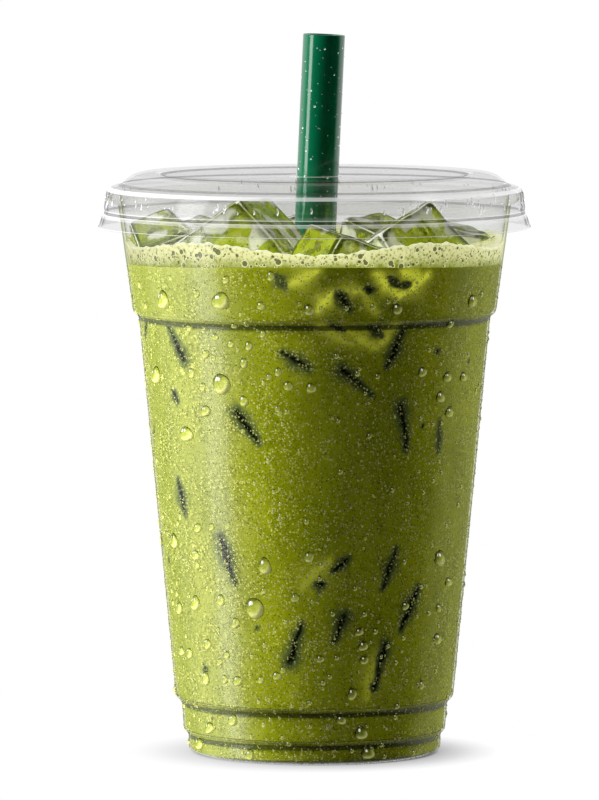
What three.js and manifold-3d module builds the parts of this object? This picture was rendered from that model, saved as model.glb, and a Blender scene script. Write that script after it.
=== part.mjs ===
// Iced matcha latte in a clear plastic cup: the stepped cup with its rolled rim, a flat lid with
// a straw hole that is pressed onto it, a wide green straw, the drink, its skin of foam, and the
// ice cubes that stand out of it.
// Millimetres, +Z up, -Y is the front. The origin is the middle of the cup's foot, on the table.

import * as THREE from "three";
import { mergeVertices } from "three/addons/utils/BufferGeometryUtils.js";
import Module from "manifold-3d";

const wasm = await Module();
wasm.setup();

// Every round piece has the same number of sides, so that walls which face each other stay parallel.
const SIDES = 48;
const GAP = 0.4;

// The cup.
const FOOT_RADIUS = 30.3;
const FOOT_TOP = 4.9;
const BASE_RING_RADIUS = 31.9;
const BASE_RING_TOP = 12.8;
const WALL_FOOT_RADIUS = 33.5;
const WALL_TOP_RADIUS = 42.1;
const SHOULDER_HEIGHT = 105.4;
const SHOULDER_RADIUS = 43.7;
const NECK_RADIUS = 47.0;
const RIM_HEIGHT = 134.4;
const RIM_RADIUS = 48.9;
const RIM_BEAD = 1.2;
const CUP_WALL = 0.7;
const BASE_RECESS = 1.9;

// The lid.
const LID_PANEL_HEIGHT = 138.5;
const LID_RING_HEIGHT = 139.3;
const LID_RING_INNER = 36.5;
const LID_RING_OUTER = 41.5;
const LID_LEDGE_RADIUS = 46.4;
const LID_SKIRT_RADIUS = 50.0;
const LID_FLANGE_RADIUS = 51.8;
const LID_FLANGE_HEIGHT = 126.4;
const LID_WALL = 0.55;
const STRAW_HOLE_RADIUS = 6.4;

// The straw leans to the right and stops just above the floor of the cup.
const STRAW_RADIUS = 5.0;
const STRAW_WALL = 0.6;
const STRAW_TOP = 172.3;
const STRAW_BOTTOM = 6.0;
const STRAW_LEAN = THREE.MathUtils.degToRad(2.6);
const STRAW_OFFSET_AT_LID = 0.75;
const STRAW_SIDES = 24;

// The drink and its foam. Where they meet, the foam hangs a little lower at the sides than at
// the front and the back, and its upper edge climbs the wall in slow waves.
const DRINK_HEIGHT = 118.4;
const DRINK_SADDLE = 0.7;
const FOAM_HEIGHT = 121.2;
const FOAM_EDGE_HEIGHT = 123.3;
const FOAM_WAVE = 1.2;
const FOAM_WAVES = 5;
const FOAM_RINGS = [0.35, 0.7, 0.86, 0.95, 1];

// The ice cubes: the middle of each, its edges, its turn in degrees, which rolls it about Y, then
// tips it about X and last swings it about Z, and how much of its width it loses along its height.
const ICE = [
  { name: "ice_left", at: [-36.8, -1.0, 121.5], edges: [14, 14, 15], turn: [-50, -30, -10], taper: 0.4 },
  { name: "ice_tall", at: [-15.5, -20.0, 120.8], edges: [23, 23, 22], turn: [0, 45, -25], taper: 0.4 },
  { name: "ice_front", at: [4.2, -31.8, 117.4], edges: [20, 18, 18], turn: [9, -60, 37], taper: 0.4 },
  { name: "ice_right", at: [23.7, -11.2, 119.1], edges: [21, 18, 21], turn: [-20, -28, 27], taper: 0.25 },
  { name: "ice_right_back", at: [33.2, 12.2, 118.6], edges: [14, 16, 16], turn: [8, 10, 20], taper: 0.15 },
  { name: "ice_back_right", at: [15.8, 27.3, 118.4], edges: [16, 19, 16], turn: [14, -5, 41], taper: 0.3 },
  { name: "ice_back", at: [-7.5, 30.5, 117.4], edges: [17, 16, 17], turn: [-18, -16, 8], taper: 0.25 },
  { name: "ice_back_left", at: [-26.6, 18.4, 118.4], edges: [16, 16, 16], turn: [12, 18, -28], taper: 0.2 },
];
const ICE_CORNER = 2.2;
const ICE_MELT = 0.35;
const ICE_RIPPLE = [0.31, 0.27, 0.23];
const ICE_CELLS = 3;

// Turns an outline of [radius, height] points into a closed solid of revolution. An outline runs
// up the outside and back down the inside, and its open ends lie on the axis.
function turned(outline, sides = SIDES) {
  const points = outline.map(([radius, height]) => new THREE.Vector2(radius, height));
  if (outline[0][0] > 0) points.push(points[0].clone());
  const geometry = new THREE.LatheGeometry(points, sides);
  geometry.rotateX(Math.PI / 2);
  return geometry;
}

// The inner side of a thin wall: each point of the outline moved in by the wall's thickness, at
// right angles to the outline there.
function insideOf(outline, thickness) {
  return outline.map(([radius, height], i) => {
    const before = outline[Math.max(i - 1, 0)];
    const after = outline[Math.min(i + 1, outline.length - 1)];
    const along = new THREE.Vector2(after[0] - before[0], after[1] - before[1]).normalize();
    return [Math.max(radius - along.y * thickness, 0), height + along.x * thickness];
  });
}

// The radius of an outline at a height, where the outline only climbs.
function radiusAt(outline, height) {
  const above = outline.findIndex(([, h], i) => i > 0 && h >= height && outline[i - 1][1] < height);
  const [r0, h0] = outline[above - 1];
  const [r1, h1] = outline[above];
  return r0 + ((r1 - r0) * (height - h0)) / (h1 - h0);
}

// A ledge where the wall steps out by a rounded lip above a narrow groove.
function ledge(grooveRadius, lipRadius, height) {
  const step = lipRadius - grooveRadius;
  return [
    [grooveRadius, height - 0.4],
    [grooveRadius + 0.65 * step, height + 0.3],
    [lipRadius - 0.08 * step, height + 1.1],
    [lipRadius, height + 2.4],
  ];
}

// The cup's outer surface from the middle of its recessed base up to the neck below the rim.
const cupOutside = [
  [0, BASE_RECESS],
  [FOOT_RADIUS - 6.2, BASE_RECESS],
  [FOOT_RADIUS - 4.6, 0],
  [FOOT_RADIUS - 1.7, 0],
  [FOOT_RADIUS - 0.5, 0.5],
  [FOOT_RADIUS, 1.6],
  ...ledge(FOOT_RADIUS - 0.1, BASE_RING_RADIUS - 0.4, FOOT_TOP),
  ...ledge(BASE_RING_RADIUS, WALL_FOOT_RADIUS, BASE_RING_TOP),
  ...ledge(WALL_TOP_RADIUS, SHOULDER_RADIUS, SHOULDER_HEIGHT),
  [NECK_RADIUS, RIM_HEIGHT - 2.2 * RIM_BEAD],
];
const cupInside = insideOf(cupOutside, CUP_WALL);

// The rolled rim: a round bead that the wall runs into from below.
function rimBead() {
  const centre = [RIM_RADIUS - RIM_BEAD, RIM_HEIGHT - RIM_BEAD];
  const from = THREE.MathUtils.degToRad(-75);
  const to = THREE.MathUtils.degToRad(160);
  const steps = 6;
  return Array.from({ length: steps + 1 }, (_, i) => {
    const angle = from + ((to - from) * i) / steps;
    return [centre[0] + RIM_BEAD * Math.cos(angle), centre[1] + RIM_BEAD * Math.sin(angle)];
  });
}

const cupGeometry = turned([...cupOutside, ...rimBead(), ...cupInside.slice().reverse()]);

// The lid's outer surface, from the bottom of its flange up the skirt, over the ledge that sits
// on the cup's rim and the ring on top, to the edge of the straw hole.
const lidOutside = [
  [LID_FLANGE_RADIUS, LID_FLANGE_HEIGHT],
  [LID_FLANGE_RADIUS - 0.4, LID_FLANGE_HEIGHT + 0.6],
  [LID_SKIRT_RADIUS + 0.8, LID_FLANGE_HEIGHT + 2.8],
  [LID_SKIRT_RADIUS + 0.1, LID_FLANGE_HEIGHT + 3.4],
  [LID_SKIRT_RADIUS + 0.4, LID_FLANGE_HEIGHT + 4.2],
  [LID_SKIRT_RADIUS - 0.1, LID_RING_HEIGHT - 5.0],
  [LID_SKIRT_RADIUS - 0.6, LID_RING_HEIGHT - 3.8],
  [LID_SKIRT_RADIUS - 1.8, LID_RING_HEIGHT - 3.2],
  [LID_LEDGE_RADIUS, LID_RING_HEIGHT - 3.0],
  [LID_LEDGE_RADIUS - 1.0, LID_RING_HEIGHT - 2.0],
  [LID_RING_OUTER + 2.2, LID_RING_HEIGHT - 0.6],
  [LID_RING_OUTER, LID_RING_HEIGHT],
  [LID_RING_INNER + 0.9, LID_RING_HEIGHT],
  [LID_RING_INNER, LID_PANEL_HEIGHT],
  [STRAW_HOLE_RADIUS, LID_PANEL_HEIGHT],
];
const lidGeometry = turned([...lidOutside, ...insideOf(lidOutside, LID_WALL).reverse()]);

// The straw is a tube built upright about the axis, then leaned and set in the lid's hole.
function strawTube(outer, inner, bottom, top) {
  const outside = [
    [outer, bottom],
    [outer, top],
  ];
  const inside = [
    [inner, top],
    [inner, bottom],
  ];
  return turned([...outside, ...inside], STRAW_SIDES);
}

const strawLean = new THREE.Matrix4()
  .makeTranslation(STRAW_OFFSET_AT_LID, 0, LID_PANEL_HEIGHT)
  .multiply(new THREE.Matrix4().makeRotationY(STRAW_LEAN))
  .multiply(new THREE.Matrix4().makeTranslation(0, 0, -LID_PANEL_HEIGHT));

// A melted ice cube: a box with rounded edges that narrows upwards and whose faces sink and swell
// in a slow wave.
function iceCube({ edges, turn, at, taper }, index, grow = 0) {
  const geometry = new THREE.BoxGeometry(2, 2, 2, ICE_CELLS, ICE_CELLS, ICE_CELLS);
  const half = new THREE.Vector3(...edges).multiplyScalar(0.5);
  const core = half.clone().subScalar(ICE_CORNER);
  const position = geometry.getAttribute("position");
  const inner = new THREE.Vector3();
  const outward = new THREE.Vector3();
  for (let i = 0; i < position.count; i++) {
    inner.fromBufferAttribute(position, i).multiplyScalar(ICE_CELLS).clampScalar(-1, 1).multiply(core);
    outward.fromBufferAttribute(position, i);
    outward.set(...outward.toArray().map((t) => (Math.abs(t) === 1 ? t : 0))).normalize();
    const across = Math.sin(ICE_RIPPLE[0] * inner.x + index);
    const along = Math.sin(ICE_RIPPLE[1] * inner.y + ICE_RIPPLE[2] * inner.z + 2 * index);
    const melted = ICE_MELT * (1 - (across + along) / 2);
    inner.addScaledVector(outward, ICE_CORNER - melted + grow);
    const narrowing = 1 - (taper * inner.z) / edges[2];
    position.setXYZ(i, inner.x * narrowing, inner.y * narrowing, inner.z);
  }
  const angles = new THREE.Euler(...turn.map(THREE.MathUtils.degToRad), "ZXY");
  geometry.applyMatrix4(new THREE.Matrix4().makeRotationFromEuler(angles));
  geometry.translate(...at);
  return geometry;
}

// Where the drink and the foam meet, at a place on the wall given by its angle.
const meetingHeight = (angle) => DRINK_HEIGHT - DRINK_SADDLE * Math.cos(2 * angle);

// The foam's upper edge on the wall. The front, at -Y, has a dip.
const foamEdgeHeight = (angle) => FOAM_EDGE_HEIGHT + FOAM_WAVE * Math.sin(FOAM_WAVES * angle);

// Moves each point of a turned solid to the height that a rule gives for its angle and its share
// of the radius, and keeps it as far from the cup's wall as it was.
function reshape(geometry, rule) {
  const position = geometry.getAttribute("position");
  for (let i = 0; i < position.count; i++) {
    const [x, y, z] = [position.getX(i), position.getY(i), position.getZ(i)];
    if (z < DRINK_HEIGHT - GAP) continue;
    const share = Math.hypot(x, y) / (radiusAt(cupInside, z) - GAP);
    const height = rule(z, Math.atan2(y, x), share);
    const widening = (radiusAt(cupInside, height) - GAP) / (radiusAt(cupInside, z) - GAP);
    position.setXYZ(i, x * widening, y * widening, height);
  }
  return geometry;
}

// The drink fills the cup, a gap away from its inner surface.
function drinkFill() {
  const inside = insideOf(cupOutside, CUP_WALL + GAP);
  const below = inside.filter(([, height]) => height < DRINK_HEIGHT);
  const outline = [...below, [radiusAt(cupInside, DRINK_HEIGHT) - GAP, DRINK_HEIGHT], [0, DRINK_HEIGHT]];
  return reshape(turned(outline), (z, angle, share) => z + (meetingHeight(angle) - DRINK_HEIGHT) * share);
}

// The foam lies on the drink, a gap above it.
function foamSkin() {
  const underside = DRINK_HEIGHT + GAP;
  const fill = (height) => radiusAt(cupInside, height) - GAP;
  const top = FOAM_RINGS.map((share) => [share * fill(FOAM_HEIGHT), FOAM_HEIGHT]);
  const outline = [[0, underside], [fill(underside), underside], ...top.reverse(), [0, FOAM_HEIGHT]];
  return reshape(turned(outline), (z, angle, share) => {
    if (z < FOAM_HEIGHT - GAP) return z + (meetingHeight(angle) - DRINK_HEIGHT) * share;
    return FOAM_HEIGHT + (foamEdgeHeight(angle) - FOAM_HEIGHT) * share ** 8;
  });
}

// A closed three.js geometry as a manifold-3d solid. Triangles that close up at a pole are dropped.
function solid(geometry) {
  const bare = new THREE.BufferGeometry();
  const source = geometry.index ? geometry.toNonIndexed() : geometry;
  bare.setAttribute("position", source.getAttribute("position"));
  const merged = mergeVertices(bare, 1e-3);
  const corners = merged.index.array;
  const kept = corners.filter((_, i) => {
    const [a, b, c] = corners.subarray(i - (i % 3), i - (i % 3) + 3);
    return a !== b && b !== c && c !== a;
  });
  return new wasm.Manifold(
    new wasm.Mesh({
      numProp: 3,
      vertProperties: merged.getAttribute("position").array,
      triVerts: new Uint32Array(kept),
    }),
  );
}

// A manifold-3d solid back as a three.js geometry.
function geometryOf(cut) {
  const { vertProperties, triVerts } = cut.getMesh();
  const geometry = new THREE.BufferGeometry();
  geometry.setAttribute("position", new THREE.BufferAttribute(vertProperties, 3));
  geometry.setIndex(new THREE.BufferAttribute(triVerts, 1));
  geometry.computeVertexNormals();
  return geometry;
}

// What the ice and the straw take out of the drink and the foam, each a gap larger than itself.
// The drink also stands inside the straw, and the foam doesn't.
const iceHoles = ICE.map((cube, index) => solid(iceCube(cube, index, GAP)));
const wetStraw = strawTube(STRAW_RADIUS + GAP, STRAW_RADIUS - STRAW_WALL - GAP, STRAW_BOTTOM - GAP, STRAW_TOP);
const strawRod = turned([[0, 0], [STRAW_RADIUS + GAP, 0], [STRAW_RADIUS + GAP, STRAW_TOP], [0, STRAW_TOP]]);
const cutFrom = (whole, straw) =>
  [solid(straw.applyMatrix4(strawLean)), ...iceHoles].reduce((left, hole) => left.subtract(hole), solid(whole));
const drinkGeometry = geometryOf(cutFrom(drinkFill(), wetStraw));
const foamGeometry = geometryOf(cutFrom(foamSkin(), strawRod));

const clear = { roughness: 0.05, metalness: 0, transparent: true };
const clearPlastic = new THREE.MeshStandardMaterial({ ...clear, color: 0xf2f5f3, opacity: 0.25 });
const clearIce = new THREE.MeshStandardMaterial({ ...clear, color: 0xe4efd0, opacity: 0.5 });
const greenPlastic = new THREE.MeshStandardMaterial({ color: 0x00693c, roughness: 0.3, metalness: 0 });
const matcha = new THREE.MeshStandardMaterial({ color: 0x9cae2c, roughness: 0.35, metalness: 0 });
const matchaFoam = new THREE.MeshStandardMaterial({ color: 0xdce38c, roughness: 0.6, metalness: 0 });

function piece(name, geometry, material) {
  const mesh = new THREE.Mesh(geometry, material);
  mesh.name = name;
  return mesh;
}

const strawGeometry = strawTube(STRAW_RADIUS, STRAW_RADIUS - STRAW_WALL, STRAW_BOTTOM, STRAW_TOP);
const straw = piece("straw", strawGeometry, greenPlastic);
straw.applyMatrix4(strawLean);

const latte = new THREE.Group();
latte.add(
  piece("cup", cupGeometry, clearPlastic),
  piece("lid", lidGeometry, clearPlastic),
  straw,
  piece("drink", drinkGeometry, matcha),
  piece("foam", foamGeometry, matchaFoam),
  ...ICE.map((cube, index) => piece(cube.name, iceCube(cube, index), clearIce)),
);

export default latte;
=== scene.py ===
"""The looks of an iced matcha latte in a clear cup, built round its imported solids.

The wall of the cup, the lid and the straw are turned profiles. The drink and its foam are height
surfaces over the same cup, with pockets for the ice. The wet outside is made of separate drops.
Sizes are in millimetres and become metres only where a mesh is made. +Z is up, -Y is the front.
"""

import logging
import math
from collections.abc import Callable
from dataclasses import dataclass, field
from enum import Enum

import bpy
import numpy as np
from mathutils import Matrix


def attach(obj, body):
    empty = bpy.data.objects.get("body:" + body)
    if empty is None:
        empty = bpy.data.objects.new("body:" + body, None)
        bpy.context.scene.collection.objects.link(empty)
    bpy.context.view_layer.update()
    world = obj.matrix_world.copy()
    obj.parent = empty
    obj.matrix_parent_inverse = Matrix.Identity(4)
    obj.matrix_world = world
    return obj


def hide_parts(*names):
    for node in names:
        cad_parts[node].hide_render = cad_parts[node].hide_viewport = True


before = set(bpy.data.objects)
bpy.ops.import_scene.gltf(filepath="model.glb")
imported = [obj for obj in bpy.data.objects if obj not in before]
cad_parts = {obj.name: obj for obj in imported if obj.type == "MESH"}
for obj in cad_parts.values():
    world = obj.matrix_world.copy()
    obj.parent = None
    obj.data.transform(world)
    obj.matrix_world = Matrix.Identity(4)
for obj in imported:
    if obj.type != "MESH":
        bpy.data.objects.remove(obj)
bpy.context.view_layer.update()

MM = 0.001
WHITE = (1.0, 1.0, 1.0)
BLACK = (0.0, 0.0, 0.0)
log = logging.getLogger("matcha_latte")


class Slot(Enum):
    """The material slots of the record."""

    CUP = "cup_plastic"
    LID = "lid_plastic"
    STRAW = "straw_plastic"
    DRINK = "matcha"
    FOAM = "matcha_foam"
    ICE = "ice"


def grey(level: float) -> tuple:
    """Returns a grey of a level from 0 to 1."""
    return (level, level, level)


def new_object(name: str, data: bpy.types.ID) -> bpy.types.Object:
    """Adds an object with a mesh, a camera or a light to the scene.

    Args:
        name: Its name.
        data: What it holds.

    Returns:
        The object, at the origin.
    """
    thing = bpy.data.objects.new(name, data)
    bpy.context.collection.objects.link(thing)
    return thing


class Value:
    """A shader socket that reads like a number: an expression on it adds its Math nodes."""

    def __init__(self, shader: "Shader", socket: bpy.types.NodeSocket) -> None:
        """Wraps one output socket of a shader's nodes."""
        self.shader = shader
        self.socket = socket

    def math(self, operation: str, *others: "Value | float", first: bool = True) -> "Value":
        """Adds a Math node.

        Args:
            operation: The node's operation.
            others: The other operands.
            first: Whether this value is the first operand.

        Returns:
            The node's result.
        """
        operands = (self, *others) if first else (*others, self)
        node = self.shader.add("ShaderNodeMath", {"operation": operation}, dict(enumerate(operands)))
        return Value(self.shader, node.outputs[0])

    def __add__(self, other: "Value | float") -> "Value":
        """Returns this value plus the other."""
        return self.math("ADD", other)

    __radd__ = __add__

    def __mul__(self, other: "Value | float") -> "Value":
        """Returns this value times the other."""
        return self.math("MULTIPLY", other)

    __rmul__ = __mul__

    def __sub__(self, other: "Value | float") -> "Value":
        """Returns this value less the other."""
        return self.math("SUBTRACT", other)

    def __rsub__(self, other: "Value | float") -> "Value":
        """Returns the other less this value."""
        return self.math("SUBTRACT", other, first=False)

    def __pow__(self, other: float) -> "Value":
        """Returns this value to a power."""
        return self.math("POWER", other)

    def __abs__(self) -> "Value":
        """Returns this value without its sign."""
        return self.math("ABSOLUTE")

    def step(self, low: float, high: float) -> "Value":
        """Turns the value into a smooth step.

        Args:
            low: Where the step is 0.
            high: Where it is 1, which may lie below low.

        Returns:
            The step.
        """
        start, end, falls = (low, high, False) if low < high else (high, low, True)
        node = self.shader.add(
            "ShaderNodeMapRange",
            {"interpolation_type": "SMOOTHSTEP"},
            {"Value": self, "From Min": start, "From Max": end},
        )
        rise = Value(self.shader, node.outputs[0])
        return 1.0 - rise if falls else rise

    def larger(self, other: "Value | float") -> "Value":
        """Returns the larger of the two."""
        return self.math("MAXIMUM", other)


class Shader:
    """The nodes of one material or of the world."""

    def __init__(self, tree: bpy.types.NodeTree) -> None:
        """Clears a node tree and starts to build in it."""
        self.tree = tree
        self.tree.nodes.clear()

    def add(self, kind: str, settings: dict | None = None, sockets: dict | None = None) -> bpy.types.Node:
        """Adds one node.

        Args:
            kind: The node's type.
            settings: Its own settings, which are set first.
            sockets: A value, a colour, a wrapped value or an output for each input.

        Returns:
            The node.
        """
        node = self.tree.nodes.new(kind)
        for name, setting in (settings or {}).items():
            setattr(node, name, setting)
        for name, value in (sockets or {}).items():
            self._feed(node.inputs[name], value)
        return node

    def _feed(self, socket: bpy.types.NodeSocket, value: object) -> None:
        """Links or sets one input."""
        source = value.socket if isinstance(value, Value) else value
        if isinstance(source, bpy.types.NodeSocket):
            self.tree.links.new(source, socket)
        elif isinstance(source, tuple) and len(source) == 3 and socket.type == "RGBA":
            socket.default_value = (*source, 1.0)
        else:
            socket.default_value = source

    def bsdf(self, kind: str, sockets: dict) -> bpy.types.Node:
        """Returns a surface shader of a kind, such as Principled or Glossy."""
        return self.add("ShaderNodeBsdf" + kind, None, sockets)

    def vector(self, operation: str, *operands: object) -> bpy.types.NodeSocket:
        """Returns the result of a Vector Math node."""
        node = self.add("ShaderNodeVectorMath", {"operation": operation}, dict(enumerate(operands)))
        return node.outputs[0]

    def coordinates(self, kind: str) -> bpy.types.NodeSocket:
        """Returns coordinates of a kind, such as Object or Normal."""
        return self.add("ShaderNodeTexCoord").outputs[kind]

    def axis(self, vector: bpy.types.NodeSocket, name: str) -> Value:
        """Returns the X, the Y or the Z of a vector."""
        return Value(self, self.add("ShaderNodeSeparateXYZ", None, {0: vector}).outputs[name])

    def ray(self, kind: str) -> Value:
        """Returns 1 for the rays of a kind, such as Camera, and 0 for the rest."""
        return Value(self, self.add("ShaderNodeLightPath").outputs[f"Is {kind} Ray"])

    def place(self, scale: tuple = (1.0, 1.0, 1.0)) -> bpy.types.NodeSocket:
        """Returns the object's own coordinates in millimetres, stretched by a scale."""
        return self.vector("MULTIPLY", self.coordinates("Object"), tuple(s / MM for s in scale))

    def attribute(self, name: str) -> Value:
        """Returns a value that the mesh carries at each point."""
        return Value(self, self.add("ShaderNodeAttribute", {"attribute_name": name}).outputs["Fac"])

    def facing(self) -> Value:
        """Returns 0 where a surface is seen square on and 1 where it is seen edge on."""
        return Value(self, self.add("ShaderNodeLayerWeight", None, {"Blend": 0.5}).outputs["Facing"])

    def upward(self) -> Value:
        """Returns 1 where the surface faces up, 0 where it stands upright and -1 where it faces down."""
        return self.axis(self.coordinates("Normal"), "Z")

    def flattened(self, kind: str, rise: float) -> bpy.types.NodeSocket:
        """Returns the direction of coordinates whose upward part is multiplied by a rise."""
        return self.vector("NORMALIZE", self.vector("MULTIPLY", self.coordinates(kind), (1.0, 1.0, rise)))

    def outward(self) -> bpy.types.NodeSocket:
        """Returns the direction straight out from the axis, which is the bare wall's own normal."""
        return self.flattened("Object", 0.0)

    def levelled(self) -> bpy.types.NodeSocket:
        """Returns the surface's normal turned most of the way to level, as thick dairy looks."""
        return self.flattened("Normal", 0.3)

    def noise(
        self, place: bpy.types.NodeSocket, size: float, detail: float = 2.0, rough: float = 0.5
    ) -> Value:
        """Returns smooth noise.

        Args:
            place: The coordinates in millimetres.
            size: The size of one swell in millimetres.
            detail: How many finer layers are added.
            rough: How strong the finer layers are.

        Returns:
            The noise, from 0 to 1.
        """
        sockets = {"Vector": place, "Scale": 1.0 / size, "Detail": detail, "Roughness": rough}
        return Value(self, self.add("ShaderNodeTexNoise", None, sockets).outputs[0])

    def dots(self, place: bpy.types.NodeSocket, size: float, radius: float, share: float) -> Value:
        """Returns scattered round dots: 1 in the middle of a dot, 0 outside it.

        Args:
            place: The coordinates in millimetres.
            size: The side of the cell that holds one dot, in millimetres.
            radius: The dot's radius as a share of its cell.
            share: The share of the cells that have a dot.

        Returns:
            The dots.
        """
        cells = self.add("ShaderNodeTexVoronoi", None, {"Vector": place, "Scale": 1.0 / size})
        chance = self.add("ShaderNodeSeparateColor", None, {0: cells.outputs["Color"]}).outputs[0]
        present = Value(self, chance).step(1.0 - share, 1.0 - share + 0.02)
        return Value(self, cells.outputs["Distance"]).step(radius, 0.35 * radius) * present

    def mix(self, share: Value | float, first: object, second: object) -> bpy.types.NodeSocket:
        """Returns a colour between two colours."""
        node = self.add("ShaderNodeMix", {"data_type": "RGBA"}, {0: share, 6: first, 7: second})
        return node.outputs[2]

    def bump(self, height: Value, depth: float, normal: object = None) -> bpy.types.NodeSocket:
        """Bends the normal by a height.

        Args:
            height: The height, from 0 to 1.
            depth: How deep that is in millimetres.
            normal: The normal to start from, where it isn't the surface's own.

        Returns:
            The normal.
        """
        sockets = {"Height": height, "Distance": depth * MM}
        if normal is not None:
            sockets["Normal"] = normal
        return self.add("ShaderNodeBump", None, sockets).outputs[0]

    def blend(self, share: object, first: bpy.types.Node, second: bpy.types.Node) -> bpy.types.Node:
        """Returns the mix of two shaders, where a share of 1 is all the second."""
        return self.add("ShaderNodeMixShader", None, {0: share, 1: first.outputs[0], 2: second.outputs[0]})

    def finish(self, surface: bpy.types.Node, output: str = "ShaderNodeOutputMaterial") -> None:
        """Feeds the output with the last shader."""
        self.add(output, None, {0: surface.outputs[0]})


def new_shader(name: str) -> tuple[bpy.types.Material, Shader]:
    """Starts a material.

    Args:
        name: The material's name.

    Returns:
        The material and its empty shader.
    """
    material = bpy.data.materials.new(name)
    material.use_nodes = True
    return material, Shader(material.node_tree)


@dataclass(frozen=True)
class ClearPlastic:
    """Thin clear plastic: grey where it is seen edge on, with painted highlights and shade on its bends,
    and wet, its dew drawn as painted glints with painted shade.

    The mesh carries how sharply the wall bends. An outer bend gets a painted highlight and an inner
    one painted shade.
    """

    name: str
    tint: tuple = (0.985, 0.99, 0.98)
    edge_tint: tuple = (0.32, 0.33, 0.32)
    bend_highlight: tuple = (0.78, 0.84, 0.30)
    bend_shade: tuple = (0.05, 0.07, 0.004)
    bend_highlight_cover: float = 0.3
    bend_shade_cover: float = 0.75
    bend_highlight_glow: float = 0.0
    outline_from: float = 0.8
    # Colours of the dew's painted glints and painted shade.
    speck_glint_colour: tuple = (1.0, 1.0, 0.3)
    speck_shade_colour: tuple = (0.08, 0.12, 0.01)
    speck_glints: float = 0.8
    speck_shades: float = 0.75
    dry_above: float = 121.0
    mist_colour: tuple = (0.86, 0.88, 0.80)
    mist: float = 0.02
    gloss: float = 0.16
    shine: float = 0.04
    edge_shine: float = 0.24
    patches: float = 9.0

    def build(self) -> bpy.types.Material:
        """Mixes see-through plastic, the painted highlights and shade of its bends, fine dew drawn as
        painted glints and shade, and a soft gloss.

        Returns:
            The material.
        """
        material, shader = new_shader(self.name)
        place = shader.place()
        facing = shader.facing()
        upward = shader.upward()
        outline = facing.step(self.outline_from, 0.98) * abs(upward).step(0.6, 0.25)
        clear = shader.bsdf("Transparent", {"Color": self.tint})
        edge = shader.bsdf("Transparent", {"Color": self.edge_tint})
        surface = shader.blend(outline, clear, edge)
        patch = shader.noise(place, self.patches, 3.0).step(0.36, 0.6)
        wet = shader.axis(place, "Z").step(self.dry_above, self.dry_above - 5.0)
        # The dew is drawn as painted glints and dark dots of painted shade, only where the wall is wet.
        speck_glints = shader.dots(place, 0.7, 0.46, 0.8) * (0.2 + 0.8 * patch) * wet * self.speck_glints
        speck_shades = shader.dots(shader.place((1.0, 1.0, 0.9)), 0.6, 0.38, 0.7) * wet * self.speck_shades
        mist = shader.noise(place, 0.6, 3.0, 0.8).step(0.45, 0.7) * self.mist
        layers = ((mist, self.mist_colour), (speck_shades, self.speck_shade_colour), (speck_glints, self.speck_glint_colour))
        for cover, colour in layers:
            dew = shader.bsdf("Diffuse", {"Color": colour, "Normal": shader.outward()})
            surface = shader.blend(cover, surface, dew)
        # The bends are painted: a highlight on outer bends that don't face down and shade in inner ones.
        bend = shader.attribute("bend")
        lit = self.bend_highlight_cover * bend.step(0.5, 1.0) * upward.step(-0.9, -0.5)
        dark = self.bend_shade_cover * bend.step(-0.55, -0.98)
        paint = shader.bsdf(
            "Principled",
            {
                "Base Color": shader.mix(bend.step(-0.1, 0.1), self.bend_shade, self.bend_highlight),
                "Roughness": 0.4,
                "Normal": shader.outward(),
                "Emission Color": shader.mix(bend.step(-0.1, 0.1), BLACK, self.bend_highlight),
                "Emission Strength": self.bend_highlight_glow,
            },
        )
        surface = shader.blend(lit.larger(dark), surface, paint)
        gloss = shader.bsdf("Glossy", {"Roughness": self.gloss})
        shader.finish(shader.blend(self.shine + self.edge_shine * facing**5.0, surface, gloss))
        return material


@dataclass(frozen=True)
class GreenStraw:
    """Smooth dark green plastic."""

    name: str = "straw_green"
    deep: tuple = (0.0008, 0.16, 0.066)
    light: tuple = (0.0012, 0.21, 0.092)

    def build(self) -> bpy.types.Material:
        """Mixes glossy plastic with faint lengthwise drawing lines.

        Returns:
            The material.
        """
        material, shader = new_shader(self.name)
        lines = shader.noise(shader.place((1.0, 1.0, 0.02)), 1.1, 2.0)
        cloud = shader.noise(shader.place(), 6.0, 2.0)
        body = shader.bsdf(
            "Principled",
            {
                "Base Color": shader.mix(0.6 * lines + 0.4 * cloud, self.deep, self.light),
                "Roughness": 0.14 + 0.08 * lines,
                "IOR": 1.5,
                "Specular IOR Level": 1.0,
                "Coat Weight": 1.0,
                "Coat Roughness": 0.06,
                "Normal": shader.bump(lines, 0.02),
            },
        )
        shader.finish(body)
        return material


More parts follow.
